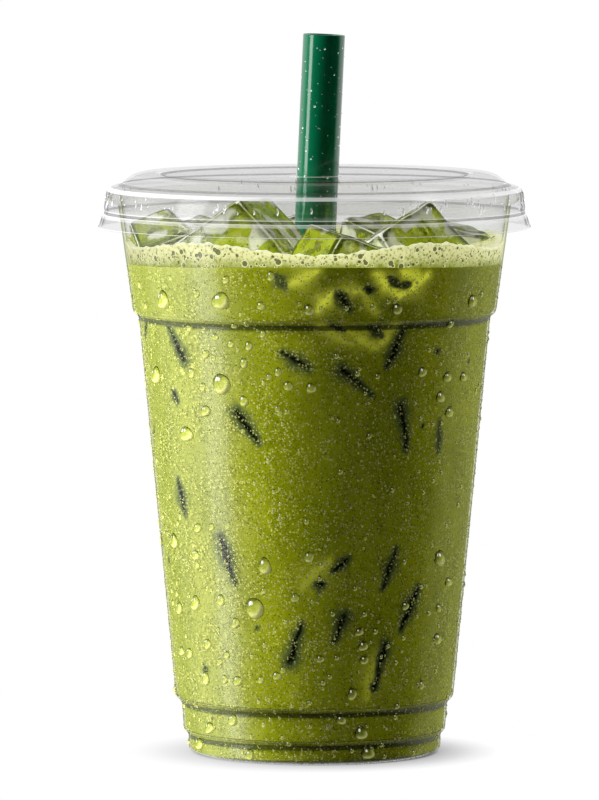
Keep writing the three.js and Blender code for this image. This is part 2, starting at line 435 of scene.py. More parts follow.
@dataclass(frozen=True)
class MatchaMilk:
    """The opaque green drink seen through the wall, with dark streaks and painted light and shade."""

    name: str = "matcha_milk"
    body: tuple = (0.54, 0.60, 0.010)
    deep: tuple = (0.42, 0.48, 0.004)
    # Painted light: the pale tint of the side where the key light falls.
    side_light_tint: tuple = (0.64, 0.69, 0.30)
    # Painted shade at the drink's left outline.
    dusk: tuple = (0.36, 0.42, 0.05)
    pale: tuple = (0.80, 0.86, 0.14)
    # Painted glow of the pale folds.
    glow: tuple = (0.36, 0.38, 0.02)
    halo: tuple = (0.12, 0.17, 0.06)
    core: tuple = (0.002, 0.005, 0.004)

    def build(self) -> bpy.types.Material:
        """Mixes the cloudy green and paints the streaks and folds that the mesh carries, with the painted
        light of the pale side, the painted shade at the outline and the folds' painted glow.

        Returns:
            The material.
        """
        material, shader = new_shader(self.name)
        place = shader.place()
        cloud = shader.noise(shader.place((1.0, 1.0, 0.5)), 13.0, 3.0, 0.55)
        colour = shader.mix(cloud.step(0.36, 0.6), self.deep, self.body)
        # Painted light: the pale side and its paler band of painted sheen.
        colour = shader.mix(shader.attribute("milk") * (0.75 + 0.5 * cloud), colour, self.side_light_tint)
        # Painted shade at the left outline.
        colour = shader.mix(0.8 * shader.attribute("dusk"), colour, self.dusk)
        fold = (shader.attribute("fold") * (0.5 + shader.noise(place, 2.5, 2.0))) ** 1.2
        colour = shader.mix(0.9 * fold, colour, self.pale)
        ragged = shader.noise(place, 1.1, 4.0, 0.75) - 0.5
        streak = shader.attribute("streak")
        colour = shader.mix(0.85 * (streak + 0.08 * ragged).step(0.0, 0.36), colour, self.halo)
        colour = shader.mix((streak + 0.3 * ragged).step(0.34, 0.95), colour, self.core)
        body = shader.bsdf(
            "Principled",
            {
                "Base Color": colour,
                "Roughness": 0.6,
                "Specular IOR Level": 0.0,
                "Normal": shader.bump(shader.noise(place, 3.0, 3.0), 0.1, shader.levelled()),
                # Painted light: the folds glow where no streak lies.
                "Emission Color": shader.mix(fold * streak.step(0.4, 0.1), BLACK, self.glow),
                "Emission Strength": 1.0,
            },
        )
        shader.finish(body)
        return material


@dataclass(frozen=True)
class FineFoam:
    """Pale fine foam with pin holes and wider open bubbles."""

    name: str = "fine_foam"
    pale: tuple = (0.90, 0.89, 0.44)
    lip: tuple = (0.97, 0.98, 0.66)
    green: tuple = (0.26, 0.31, 0.012)
    # Painted shade inside the mouths of the bubbles.
    hole: tuple = (0.05, 0.07, 0.003)
    # Painted light: how strongly the foam glows by its own colour.
    glow: float = 0.5

    def build(self) -> bpy.types.Material:
        """Colours the foam paler to its top and sinks bubbles of four sizes in it.

        Each wide bubble has a pale ring round its mouth, whose dark is painted shade. The foam also glows
        by its own colour, which is painted light.

        Returns:
            The material.
        """
        material, shader = new_shader(self.name)
        place = shader.place()
        rise = shader.attribute("rise")
        height = rise + 0.7 * (shader.noise(place, 2.0, 3.0) - 0.5)
        pins = shader.dots(place, 0.6, 0.5, 0.9)
        holes = shader.dots(place, 1.0, 0.46, 0.8)
        mouths = shader.dots(place, 1.6, 0.32, 0.6)
        bubble = shader.attribute("bubble")
        colour = shader.mix(height.step(-0.2, 0.75), self.green, self.pale)
        colour = shader.mix(0.6 * pins, colour, self.green)
        colour = shader.mix(0.8 * holes, colour, self.green)
        # The dark colour of the bubbles' mouths, here and below, is painted shade.
        colour = shader.mix(0.95 * mouths, colour, self.hole)
        colour = shader.mix(0.9 * rise.step(0.86, 0.99), colour, self.lip)
        colour = shader.mix(0.8 * bubble.step(0.02, 0.2), colour, self.pale)
        colour = shader.mix(0.85 * bubble.step(0.35, 0.6), colour, self.hole)
        sunk = 1.0 - (0.3 * pins + 0.5 * holes + 0.7 * mouths)
        body = shader.bsdf(
            "Principled",
            {
                "Base Color": colour,
                "Roughness": 0.45,
                "Normal": shader.bump(sunk, 0.25),
                # Painted light: the foam glows by its own colour.
                "Emission Color": colour,
                "Emission Strength": self.glow,
            },
        )
        shader.finish(body)
        return material


@dataclass(frozen=True)
class WetIce:
    """Wet ice: clear windows and green drink that clings to it, a painted highlight along its melted
    edges and painted shade next to them.

    The mesh carries how near a point is to an edge of the cube.
    """

    name: str = "wet_ice"
    open_water: tuple = (0.99, 1.0, 0.97)
    clear: tuple = (0.95, 0.98, 0.72)
    green: tuple = (0.52, 0.62, 0.04)
    # Dark colour: painted shade next to the edges, and the dark spots.
    deep: tuple = (0.045, 0.065, 0.003)
    # White of the frosted windows and of the painted highlight along the edges.
    frost_and_highlight: tuple = (0.95, 0.95, 0.90)
    leaf: tuple = (0.42, 0.50, 0.012)
    ior: float = 1.31

    def build(self) -> bpy.types.Material:
        """Mixes glass with frosted windows, green film, painted shade next to the edges and a painted
        highlight along them; shadow and diffuse rays pass.

        Returns:
            The material.
        """
        material, shader = new_shader(self.name)
        place = shader.place()
        swell = shader.noise(place, 4.0, 1.5, 0.5)
        film = shader.noise(place, 5.5, 1.5, 0.5).step(0.46, 0.52)
        surface = shader.bsdf(
            "Principled",
            {
                "Base Color": shader.mix(film, self.clear, self.green),
                "Roughness": 0.02,
                "IOR": self.ior,
                "Transmission Weight": 1.0,
                "Normal": shader.bump(swell, 0.7),
            },
        )
        window = shader.noise(shader.place((1.0, 1.0, 0.7)), 6.0, 1.5, 0.5).step(0.53, 0.6)
        lumps = shader.noise(place, 3.0, 2.0, 0.6).step(0.48, 0.56)
        edge = shader.attribute("edge")
        shaded_edge_band = edge.step(0.0, 0.06) * edge.step(0.24, 0.18)
        spots = shader.dots(place, 1.3, 0.3, 0.5)
        layers = (
            (0.25 + 0.5 * lumps, self.leaf),
            (0.65 * window, self.frost_and_highlight),
            # Painted shade next to the edges, then a painted highlight along them.
            (0.95 * shaded_edge_band * (0.6 + 0.4 * lumps), self.deep),
            (0.9 * edge.step(0.23, 0.28) * (0.4 + 0.6 * lumps), self.frost_and_highlight),
            (0.6 * spots, self.deep),
        )
        for cover, colour in layers:
            sockets = {"Base Color": colour, "Roughness": 0.2, "Normal": shader.bump(swell, 0.6)}
            surface = shader.blend(cover, surface, shader.bsdf("Principled", sockets))
        passes = shader.ray("Shadow").larger(shader.ray("Diffuse"))
        open_way = shader.bsdf("Transparent", {"Color": self.open_water})
        shader.finish(shader.blend(passes, surface, open_way))
        return material


@dataclass(frozen=True)
class WaterDrop:
    """A drop of clear water on the wall.

    Water turns the light that it bends, and all of it is painted: painted shade on its upper left
    and a dark rim of painted shade, painted light at its foot and a painted highlight near its top.
    The mesh carries the place in the drop, side and rise, both from -1 to 1. The colours take the
    light of the wall under the drop.
    """

    name: str = "water_drop"
    body: tuple = (0.74, 0.84, 0.10)
    shade: tuple = (0.14, 0.19, 0.01)
    rim: tuple = (0.03, 0.05, 0.002)
    foot: tuple = (1.0, 1.0, 0.36)
    foot_glow: tuple = (0.24, 0.26, 0.08)
    light: tuple = (1.0, 1.0, 0.95)
    body_cover: float = 0.42
    foot_cover: float = 0.95
    rim_cover: float = 0.8
    glow: float = 0.55

    def build(self) -> bpy.types.Material:
        """Mixes the drop's painted shade, painted light and painted highlight, and its cover.

        Returns:
            The material.
        """
        material, shader = new_shader(self.name)
        side = shader.attribute("side")
        rise = shader.attribute("rise")
        edge = (side * side + rise * rise) ** 0.5
        slant = 0.87 * rise - 0.5 * side
        # All painted: light at the foot, shade on the upper left and the rim, and a highlight near the top.
        foot = edge.step(0.1, 0.75) * slant.step(0.3, -0.45) * edge.step(1.0, 0.86)
        shade = slant.step(0.05, 0.8)
        rim = edge.step(0.84, 0.98) * (0.3 + 0.7 * slant.step(-0.6, 0.5))
        spot_side = 2.4 * (side + 0.36)
        spot_rise = 1.5 * (rise - 0.42)
        spot = (spot_side * spot_side + spot_rise * spot_rise).step(0.15, 0.05)
        colour = shader.mix(shade, self.body, self.shade)
        colour = shader.mix(foot, colour, self.foot)
        colour = shader.mix(rim, colour, self.rim)
        colour = shader.mix(spot, colour, self.light)
        glow = shader.mix(spot, shader.mix(foot, BLACK, self.foot_glow), self.light)
        cover = (self.foot_cover * foot).larger(self.body_cover)
        body = shader.bsdf(
            "Principled",
            {
                "Base Color": colour,
                "Roughness": 0.5,
                "Specular IOR Level": 0.0,
                "Normal": shader.outward(),
                "Alpha": cover.larger(self.rim_cover * rim).larger(0.95 * spot),
                "Emission Color": glow,
                "Emission Strength": self.glow,
            },
        )
        gloss = shader.bsdf("Glossy", {"Roughness": 0.08})
        shader.finish(shader.blend(0.008 + 0.05 * shader.facing() ** 4.0, body, gloss))
        return material


@dataclass(frozen=True)
class WaterSpeck:
    """A speck of dew too small to show more than a painted glint."""

    name: str = "water_speck"
    # Colour of the painted glint.
    colour: tuple = (1.0, 1.0, 0.35)
    cover: float = 0.9
    glow: float = 0.06

    def build(self) -> bpy.types.Material:
        """Mixes a painted glint: a matt light colour that takes the light of the wall under it, with a faint
        painted glow.

        Returns:
            The material.
        """
        material, shader = new_shader(self.name)
        tone = shader.noise(shader.place(), 0.8, 1.0)
        sockets = {
            "Base Color": self.colour,
            "Roughness": 0.5,
            "Specular IOR Level": 0.0,
            "Normal": shader.outward(),
            "Alpha": self.cover * tone.step(0.2, 0.6),
            "Emission Color": self.colour,
            "Emission Strength": self.glow,
        }
        shader.finish(shader.bsdf("Principled", sockets))
        return material


@dataclass
class Shell:
    """A closed surface: points in millimetres, the faces that join them, and values at the points."""

    points: np.ndarray
    faces: list
    values: dict = field(default_factory=dict)

    def piece(self, name: str, material: bpy.types.Material, slot: Slot, *nodes: str) -> bpy.types.Object:
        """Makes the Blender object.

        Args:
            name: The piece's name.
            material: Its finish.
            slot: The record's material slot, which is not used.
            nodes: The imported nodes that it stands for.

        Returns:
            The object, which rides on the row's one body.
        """
        mesh = bpy.data.meshes.new(name)
        corners = np.concatenate([block.ravel() for block in self.faces]).astype(np.int32)
        counts = np.concatenate([np.full(len(block), block.shape[1]) for block in self.faces])
        starts = np.concatenate([[0], np.cumsum(counts)[:-1]]).astype(np.int32)
        mesh.vertices.add(len(self.points))
        mesh.vertices.foreach_set("co", (self.points * MM).astype(np.float32).ravel())
        mesh.loops.add(len(corners))
        mesh.loops.foreach_set("vertex_index", corners)
        mesh.polygons.add(len(starts))
        mesh.polygons.foreach_set("loop_start", starts)
        mesh.polygons.foreach_set("use_smooth", np.ones(len(starts), bool))
        mesh.update(calc_edges=True)
        for label, values in self.values.items():
            layer = mesh.attributes.new(label, "FLOAT", "POINT")
            layer.data.foreach_set("value", values.astype(np.float32))
        mesh.materials.append(material)
        piece = new_object(name, mesh)
        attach(piece, "root")
        if nodes:
            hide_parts(*nodes)
        log.info("%s: %d points, %d triangles", name, len(self.points), int((counts - 2).sum()))
        return piece


def grid_faces(rows: int, columns: int, first: int = 0, closed: bool = False) -> np.ndarray:
    """Joins a grid of points whose columns run once round.

    Args:
        rows: The rows of points.
        columns: The columns of points.
        first: The index of the grid's first point.
        closed: Whether the last row joins the first.

    Returns:
        Quads of point indices, which face away from the axis where the rows climb.
    """
    row = np.arange(rows if closed else rows - 1)[:, None]
    column = np.arange(columns)[None, :]
    after = (column + 1) % columns
    here = row * columns
    above = (row + 1) % rows * columns
    quads = np.stack([here + column, here + after, above + after, above + column], -1)
    return quads.reshape(-1, 4) + first


def full_turn(sides: int) -> np.ndarray:
    """Returns the angles of a ring of points, in radians."""
    return np.arange(sides) * 2.0 * math.pi / sides


def around(radius: np.ndarray, angle: np.ndarray, height: np.ndarray) -> np.ndarray:
    """Returns points round the axis: x = r cos t, y = r sin t, z = h."""
    x = radius * np.cos(angle)
    return np.stack([x, radius * np.sin(angle), np.broadcast_to(height, x.shape)], -1)


def from_front(radius: np.ndarray, turn: np.ndarray, height: np.ndarray) -> np.ndarray:
    """Returns points at a turn to the right of the front: x = r sin t, y = -r cos t, z = h."""
    return np.stack([radius * np.sin(turn), -radius * np.cos(turn), height], -1)


def bell(value: np.ndarray, middle: float, width: np.ndarray | float, power: int = 2) -> np.ndarray:
    """Returns a bell curve, exp(-((v - m) / w)^p)."""
    return np.exp(-(((value - middle) / width) ** power))


def capped(points: np.ndarray, rows: int, low: float, high: float) -> Shell:
    """Closes a grid of rings with two poles on the axis.

    Args:
        points: The rings' points, one ring after another.
        rows: The number of rings.
        low: The height of the pole before the first ring.
        high: The height of the pole after the last ring.

    Returns:
        The closed surface.
    """
    columns = len(points) // rows
    poles = np.array([[0.0, 0.0, low], [0.0, 0.0, high]])
    column = np.arange(columns)
    after = (column + 1) % columns
    last = (rows - 1) * columns
    first_pole = np.full(columns, len(points))
    faces = [
        grid_faces(rows, columns),
        np.stack([first_pole, after, column], -1),
        np.stack([last + column, last + after, first_pole + 1], -1),
    ]
    return Shell(np.concatenate([points, poles]), faces)


def turn_profile(profile: np.ndarray, sides: int) -> Shell:
    """Turns a profile round the axis and notes how sharply it bends at each point.

    Args:
        profile: Rows of radius and height that run up the outside and down the inside. Where it
            starts and ends on the axis, the two ends become poles.
        sides: The number of sides.

    Returns:
        The closed surface.
    """
    on_axis = profile[0, 0] == 0.0
    rings = profile[1:-1] if on_axis else profile
    points = around(rings[:, :1], full_turn(sides), rings[:, 1:]).reshape(-1, 3)
    if on_axis:
        shell = capped(points, len(rings), profile[0, 1], profile[-1, 1])
    else:
        shell = Shell(points, [grid_faces(len(rings), sides, closed=True)])
    shell.values["bend"] = np.zeros(len(shell.points))
    shell.values["bend"][: len(points)] = np.repeat(bends(rings), sides)
    return shell


def turn_wall(outer: np.ndarray, inner: np.ndarray, sides: int) -> Shell:
    """Turns a thin wall and notes the bends of its outer side only.

    Args:
        outer: Rows of radius and height that run up the outside.
        inner: Rows that run down the inside.
        sides: The number of sides.

    Returns:
        The closed wall.
    """
    shell = turn_profile(np.concatenate([outer, inner]), sides)
    shell.values["bend"][len(outer) * sides :] = 0.0
    return shell


def bends(profile: np.ndarray, full: float = 10.0) -> np.ndarray:
    """Works out how sharply a closed profile turns at each point.

    Args:
        profile: Rows of radius and height.
        full: The turn in degrees that counts as 1.

    Returns:
        1 at an outer corner, 0 on a straight run and -1 at an inner corner.
    """
    step = np.diff(np.concatenate([profile[-1:], profile, profile[:1]]), axis=0)
    way = np.degrees(np.arctan2(step[:, 1], step[:, 0]))
    turn = (np.diff(way) + 180.0) % 360.0 - 180.0
    return np.clip(turn / full, -1.0, 1.0)


def eased(profile: np.ndarray, cut: float) -> np.ndarray:
    """Rounds a profile: each corner becomes two points, a cut away along its two sides.

    Args:
        profile: Rows of radius and height.
        cut: How far from the corner each new point lies, at most a third of the side.

    Returns:
        The profile with its ends kept.
    """
    step = np.diff(profile, axis=0)
    length = np.maximum(np.linalg.norm(step, axis=1, keepdims=True), 1e-9)
    share = np.minimum(cut / length, 1.0 / 3.0)
    before = profile[1:-1] - (step * share)[:-1]
    after = profile[1:-1] + (step * share)[1:]
    corners = np.stack([before, after], 1).reshape(-1, 2)
    return np.concatenate([profile[:1], corners, profile[-1:]])


def inside_of(outline: np.ndarray, thickness: float) -> np.ndarray:
    """Moves each point of an outline in, at right angles to the line between its neighbours.

    Args:
        outline: Rows of radius and height that climb the outside.
        thickness: How far in.

    Returns:
        The inner outline, still from the bottom up.
    """
    after = np.concatenate([outline[1:], outline[-1:]])
    before = np.concatenate([outline[:1], outline[:-1]])
    along = after - before
    along = along / np.linalg.norm(along, axis=1, keepdims=True)
    moved = outline + np.stack([-along[:, 1], along[:, 0]], -1) * thickness
    moved[:, 0] = np.maximum(moved[:, 0], 0.0)
    return moved


def denser(outline: np.ndarray, spacing: float) -> np.ndarray:
    """Adds points on the straight runs of an outline.

    Args:
        outline: Rows of radius and height.
        spacing: The largest distance between two points.

    Returns:
        The outline with its own points kept.
    """
    length = np.linalg.norm(np.diff(outline, axis=0), axis=1)
    parts = np.maximum(np.ceil(length / spacing).astype(int), 1)
    runs = [np.arange(count) / count + first for first, count in enumerate(parts)]
    along = np.concatenate([*runs, [len(outline) - 1.0]])
    knots = np.arange(len(outline))
    return np.stack([np.interp(along, knots, column) for column in outline.T], -1)


def ledge(groove: float, lip: float, height: float) -> list:
    """Returns the points of a ledge, where the wall steps out by a rounded lip above a groove."""
    step = lip - groove
    return [
        (groove, height - 0.4),
        (groove + 0.65 * step, height + 0.3),
        (lip - 0.08 * step, height + 1.1),
        (lip, height + 2.4),
    ]


@dataclass
class Cup:
    """The clear stepped cup: its outline, wall and rolled rim."""

    foot_radius: float = 30.3
    foot_top: float = 4.9
    base_ring_radius: float = 31.9
    base_ring_top: float = 12.8
    wall_foot_radius: float = 33.5
    wall_top_radius: float = 42.1
    shoulder_height: float = 105.4
    shoulder_radius: float = 43.7
    neck_radius: float = 47.0
    rim_height: float = 134.4
    rim_radius: float = 48.9
    rim_bead: float = 1.2
    rim_line: float = 0.55
    wall: float = 0.7
    recess: float = 1.9
    sides: int = 248

    def outside(self) -> np.ndarray:
        """Draws the outer outline, from the middle of the recessed base up to the neck.

        Returns:
            Rows of radius and height.
        """
        foot = self.foot_radius
        return np.array(
            [
                (0.0, self.recess),
                (foot - 6.2, self.recess),
                (foot - 4.6, 0.0),
                (foot - 1.7, 0.0),
                (foot - 0.5, 0.5),
                (foot, 1.6),
                *ledge(foot - 0.1, self.base_ring_radius - 0.4, self.foot_top),
                *ledge(self.base_ring_radius, self.wall_foot_radius, self.base_ring_top),
                *ledge(self.wall_top_radius, self.shoulder_radius, self.shoulder_height),
                (self.neck_radius, self.rim_height - 2.2 * self.rim_bead),
            ]
        )

    def smooth_outside(self) -> np.ndarray:
        """Returns the outer outline with its corners rounded."""
        return eased(eased(self.outside(), 0.5), 0.2)

    def radius_at(self, height: np.ndarray | float, depth: float = 0.0) -> np.ndarray:
        """Finds the wall's radius, by steps between the points of its outline.

        Args:
            height: The heights.
            depth: How far in from the outer surface.

        Returns:
            The radius at each height.
        """
        outline = inside_of(self.smooth_outside(), depth)
        climbs = outline[outline[:, 0] >= self.foot_radius - 1.0 - depth]
        return np.interp(height, climbs[:, 1], climbs[:, 0])

    def rim(self) -> np.ndarray:
        """Draws the rolled rim, an arc of a round bead that the wall runs into from below.

        Returns:
            Rows of radius and height.
        """
        angle = np.radians(np.linspace(-75.0, 160.0, 18))
        radius = self.rim_radius - self.rim_bead + self.rim_bead * np.cos(angle)
        height = self.rim_height - self.rim_bead + self.rim_bead * np.sin(angle)
        return np.stack([radius, height], -1)

    def build(self) -> bpy.types.Object:
        """Turns the wall.

        Returns:
            The cup's piece.
        """
        outside = self.smooth_outside()
        outer = denser(np.concatenate([outside, self.rim()]), 0.8)
        inner = denser(inside_of(outside, self.wall)[::-1], 2.0)
        plastic = ClearPlastic("cup_clear", edge_tint=(0.55, 0.60, 0.22)).build()
        shell = turn_wall(outer, inner, self.sides)
        # The rim's painted bend highlight and shade are made fainter.
        shell.values["bend"][shell.points[:, 2] > self.rim_height - 4.0] *= self.rim_line
        return shell.piece("cup_wall", plastic, Slot.CUP, "cup")


@dataclass
class Lid:
    """The flat clear lid with its flange, skirt, ledge, ring and straw hole."""

    panel_height: float = 138.5
    ring_height: float = 139.3
    ring_inner: float = 36.5
    ring_outer: float = 41.5
    ledge_radius: float = 46.4
    skirt_radius: float = 50.0
    flange_radius: float = 51.8
    flange_height: float = 126.4
    wall: float = 0.55
    hole_radius: float = 6.4
    sides: int = 256

    def outside(self) -> np.ndarray:
        """Draws the outer outline, from the flange's foot to the edge of the straw hole.

        Returns:
            Rows of radius and height.
        """
        flange, skirt = self.flange_radius, self.skirt_radius
        low, top = self.flange_height, self.ring_height
        return np.array(
            [
                (flange, low),
                (flange - 0.4, low + 0.6),
                (skirt + 0.8, low + 2.8),
                (skirt + 0.1, low + 3.4),
                (skirt + 0.4, low + 4.2),
                (skirt - 0.1, top - 5.0),
                (skirt - 0.6, top - 3.8),
                (skirt - 1.8, top - 3.2),
                (self.ledge_radius, top - 3.0),
                (self.ledge_radius - 1.0, top - 2.0),
                (self.ring_outer + 2.2, top - 0.6),
                (self.ring_outer, top),
                (self.ring_inner + 0.9, top),
                (self.ring_inner, self.panel_height),
                (self.hole_radius, self.panel_height),
            ]
        )

    def skirt_at(self, height: np.ndarray | float) -> np.ndarray:
        """Returns the skirt's outer radius at a height."""
        outline = self.outside()[:7]
        return np.interp(height, outline[:, 1], outline[:, 0])

    def build(self) -> bpy.types.Object:
        """Turns the lid.

        Returns:
            The lid's piece.
        """
        outside = eased(eased(self.outside(), 0.4), 0.15)
        outer = denser(outside, 0.5)
        inner = denser(inside_of(outside, self.wall)[::-1], 1.5)
        plastic = ClearPlastic(
            "lid_clear",
            tint=(0.945, 0.943, 0.945),
            edge_tint=grey(0.5),
            bend_highlight=grey(0.95),
            bend_shade=grey(0.12),
            bend_highlight_cover=0.45,
            bend_shade_cover=0.4,
            bend_highlight_glow=0.8,
            outline_from=0.82,
            speck_glints=0.0,
            speck_shades=0.0,
            mist_colour=grey(0.3),
            mist=0.015,
            edge_shine=0.03,
            gloss=0.08,
        ).build()
        return turn_wall(outer, inner, self.sides).piece("lid_shell", plastic, Slot.LID, "lid")


@dataclass
class Straw:
    """The wide green straw, a tube built upright and leaned about its place in the lid."""

    radius: float = 5.0
    wall: float = 0.6
    top: float = 172.3
    bottom: float = 6.0
    lean: float = 2.6
    offset: float = 0.75
    pivot: float = 138.5
    sides: int = 96

    def radius_at(self, height: np.ndarray) -> np.ndarray:
        """Returns the upright tube's outer radius at a height, which is the same at all heights."""
        return np.full(np.shape(height), self.radius)

    def leaned(self, shell: Shell) -> Shell:
        """Turns a shell about Y by the lean and sets it in the lid's hole.

        Args:
            shell: A shell built upright on the cup's axis.

        Returns:
            The leaned shell.
        """
        angle = math.radians(self.lean)
        x, y, z = shell.points[:, 0], shell.points[:, 1], shell.points[:, 2] - self.pivot
        turned_x = math.cos(angle) * x + math.sin(angle) * z + self.offset
        turned_z = math.cos(angle) * z - math.sin(angle) * x + self.pivot
        return Shell(np.stack([turned_x, y, turned_z], -1), shell.faces, shell.values)

    def rod(self, inner: float) -> Shell:
        """Makes the tube that the straw takes out of what fills the cup.

        Args:
            inner: The tube's inner radius.

        Returns:
            The tube, leaned like the straw.
        """
        outer, low, high = self.radius + 0.02, self.bottom - 0.1, self.top - 0.3
        profile = np.array([(inner, low), (outer, low), (outer, high), (inner, high)])
        return self.leaned(turn_profile(profile, self.sides))

    def build(self) -> bpy.types.Object:
        """Builds the tube, whose ends have rounded lips.

        Returns:
            The straw's piece.
        """
        outer, inner = self.radius, self.radius - self.wall
        low, top = self.bottom, self.top
        closed = np.array([(outer, low), (outer, top), (inner, top), (inner, low), (outer, low)])
        profile = denser(eased(eased(closed, 0.15), 0.06)[:-1], 4.0)
        tube = self.leaned(turn_profile(profile, self.sides))
        return tube.piece("straw_tube", GreenStraw().build(), Slot.STRAW, "straw")


@dataclass(frozen=True)
class IceCube:
    """One melted ice cube: its place, edges, turn and how much it narrows upwards."""

    name: str
    at: tuple
    edges: tuple
    turn: tuple
    taper: float


@dataclass
class IceCubes:
    """The ice cubes that stand out of the drink."""

    corner: float = 2.2
    melt: float = 0.35
    ripple: tuple = (0.31, 0.27, 0.23)
    dents: tuple = (0.83, 0.61, 0.71)
    dent: float = 0.28
    cells: int = 14
    cubes: tuple = (
        IceCube("ice_left", (-36.8, -1.0, 121.5), (14.0, 14.0, 15.0), (-50.0, -30.0, -10.0), 0.4),
        IceCube("ice_tall", (-15.5, -20.0, 120.8), (23.0, 23.0, 22.0), (0.0, 45.0, -25.0), 0.4),
        IceCube("ice_front", (4.2, -31.8, 117.4), (20.0, 18.0, 18.0), (9.0, -60.0, 37.0), 0.4),
        IceCube("ice_right", (23.7, -11.2, 119.1), (21.0, 18.0, 21.0), (-20.0, -28.0, 27.0), 0.25),
        IceCube("ice_right_back", (33.2, 12.2, 118.6), (14.0, 16.0, 16.0), (8.0, 10.0, 20.0), 0.15),
        IceCube("ice_back_right", (15.8, 27.3, 118.4), (16.0, 19.0, 16.0), (14.0, -5.0, 41.0), 0.3),
        IceCube("ice_back", (-7.5, 30.5, 117.4), (17.0, 16.0, 17.0), (-18.0, -16.0, 8.0), 0.25),
        IceCube("ice_back_left", (-26.6, 18.4, 118.4), (16.0, 16.0, 16.0), (12.0, 18.0, -28.0), 0.2),
    )

    def lattice(self) -> Shell:
        """Makes a cube from -1 to 1 whose six sides are grids.

        Returns:
            The closed cube, with the points that two sides share merged.
        """
        steps = np.linspace(-1.0, 1.0, self.cells + 1)
        u, v = (side.ravel() for side in np.meshgrid(steps, steps, indexing="ij"))
        one = np.ones_like(u)
        sides = [(u, v, one), (v, u, -one), (v, one, u), (u, -one, v), (one, u, v), (-one, v, u)]
        points = np.concatenate([np.stack(side, -1) for side in sides])
        whole, place = np.unique(np.round(points, 6), axis=0, return_inverse=True)
        row, column = np.meshgrid(np.arange(self.cells), np.arange(self.cells), indexing="ij")
        width = self.cells + 1
        corner = (row * width + column).ravel()
        quads = np.stack([corner, corner + width, corner + width + 1, corner + 1], -1)
        faces = np.concatenate([quads + k * width * width for k in range(6)])
        return Shell(whole, [place.ravel()[faces]])

    def shape(self, cube: IceCube, index: int, grow: float = 0.0) -> Shell:
        """Shapes one cube.

        A point of the lattice is split into an inner point, clipped to the core, and a direction
        out of it. It lies a corner radius out, less what has melted, which is two slow waves over
        the core and one quicker one. The width falls with the height, and the cube is rolled about
        Y, tipped about X and swung about Z.

        Args:
            cube: The cube.
            index: Its place in the row, which sets the phase of the waves.
            grow: How much larger it is on every side.

        Returns:
            The cube in its place.
        """
        shell = self.lattice()
        half = np.array(cube.edges) / 2.0
        core = half - self.corner
        raw = shell.points * half
        inner = np.clip(raw, -core, core)
        outward = raw - inner
        outward = outward / np.linalg.norm(outward, axis=1, keepdims=True)
        across = np.sin(self.ripple[0] * inner[:, 0] + index)
        along = np.sin(self.ripple[1] * inner[:, 1] + self.ripple[2] * inner[:, 2] + 2 * index)
        melted = self.melt * (1.0 - (across + along) / 2.0)
        quick = np.sin(self.dents[0] * inner[:, 0] + self.dents[1] * inner[:, 2] + index)
        quick = quick * np.sin(self.dents[2] * inner[:, 1] + 3 * index)
        melted = melted + self.dent * (1.0 + quick) / 2.0
        points = inner + outward * (self.corner - melted + grow)[:, None]
        points[:, :2] *= 1.0 - cube.taper * points[:, 2:] / cube.edges[2]
        shell.points = points @ self.turn_matrix(cube.turn).T + np.array(cube.at)
        shell.values["edge"] = 1.0 - np.abs(outward).max(axis=1)
        return shell

    def turn_matrix(self, turn: tuple) -> np.ndarray:
        """Works out a rotation about Y, then X, then Z.

        Args:
            turn: The turns about X, Y and Z in degrees.

        Returns:
            The rotation, Rz Rx Ry.
        """
        sines = np.sin(np.radians(turn))
        cosines = np.cos(np.radians(turn))
        about_x = np.array([[1, 0, 0], [0, cosines[0], -sines[0]], [0, sines[0], cosines[0]]])
        about_y = np.array([[cosines[1], 0, sines[1]], [0, 1, 0], [-sines[1], 0, cosines[1]]])
        about_z = np.array([[cosines[2], -sines[2], 0], [sines[2], cosines[2], 0], [0, 0, 1]])
        return about_z @ about_x @ about_y

    def build(self) -> list:
        """Builds the cubes.

        Returns:
            Their pieces.
        """
        ice = WetIce().build()
        return [
            self.shape(cube, index).piece(f"{cube.name}_cube", ice, Slot.ICE, cube.name)
            for index, cube in enumerate(self.cubes)
        ]


def carve(piece: bpy.types.Object, cutters: list) -> None:
    """Cuts closed shells out of a piece and leaves no modifier on it.

    Args:
        piece: The piece.
        cutters: The shells.
    """
    holes = []
    for number, shell in enumerate(cutters):
        mesh = bpy.data.meshes.new(f"cutter_{number}")
        faces = [face for block in shell.faces for face in block.tolist()]
        mesh.from_pydata((shell.points * MM).tolist(), [], faces)
        hole = new_object(mesh.name, mesh)
        holes.append(hole)
        cut = piece.modifiers.new(mesh.name, "BOOLEAN")
        cut.operation = "DIFFERENCE"
        cut.solver = "MANIFOLD"
        cut.object = hole
    bpy.context.view_layer.update()
    evaluated = piece.evaluated_get(bpy.context.evaluated_depsgraph_get())
    carved = bpy.data.meshes.new_from_object(evaluated)
    old = piece.data
    piece.modifiers.clear()
    piece.data = carved
    bpy.data.meshes.remove(old)
    carved.name = piece.name
    for hole in holes:
        bpy.data.meshes.remove(hole.data)
    log.info("%s carved: %d points", piece.name, len(carved.vertices))


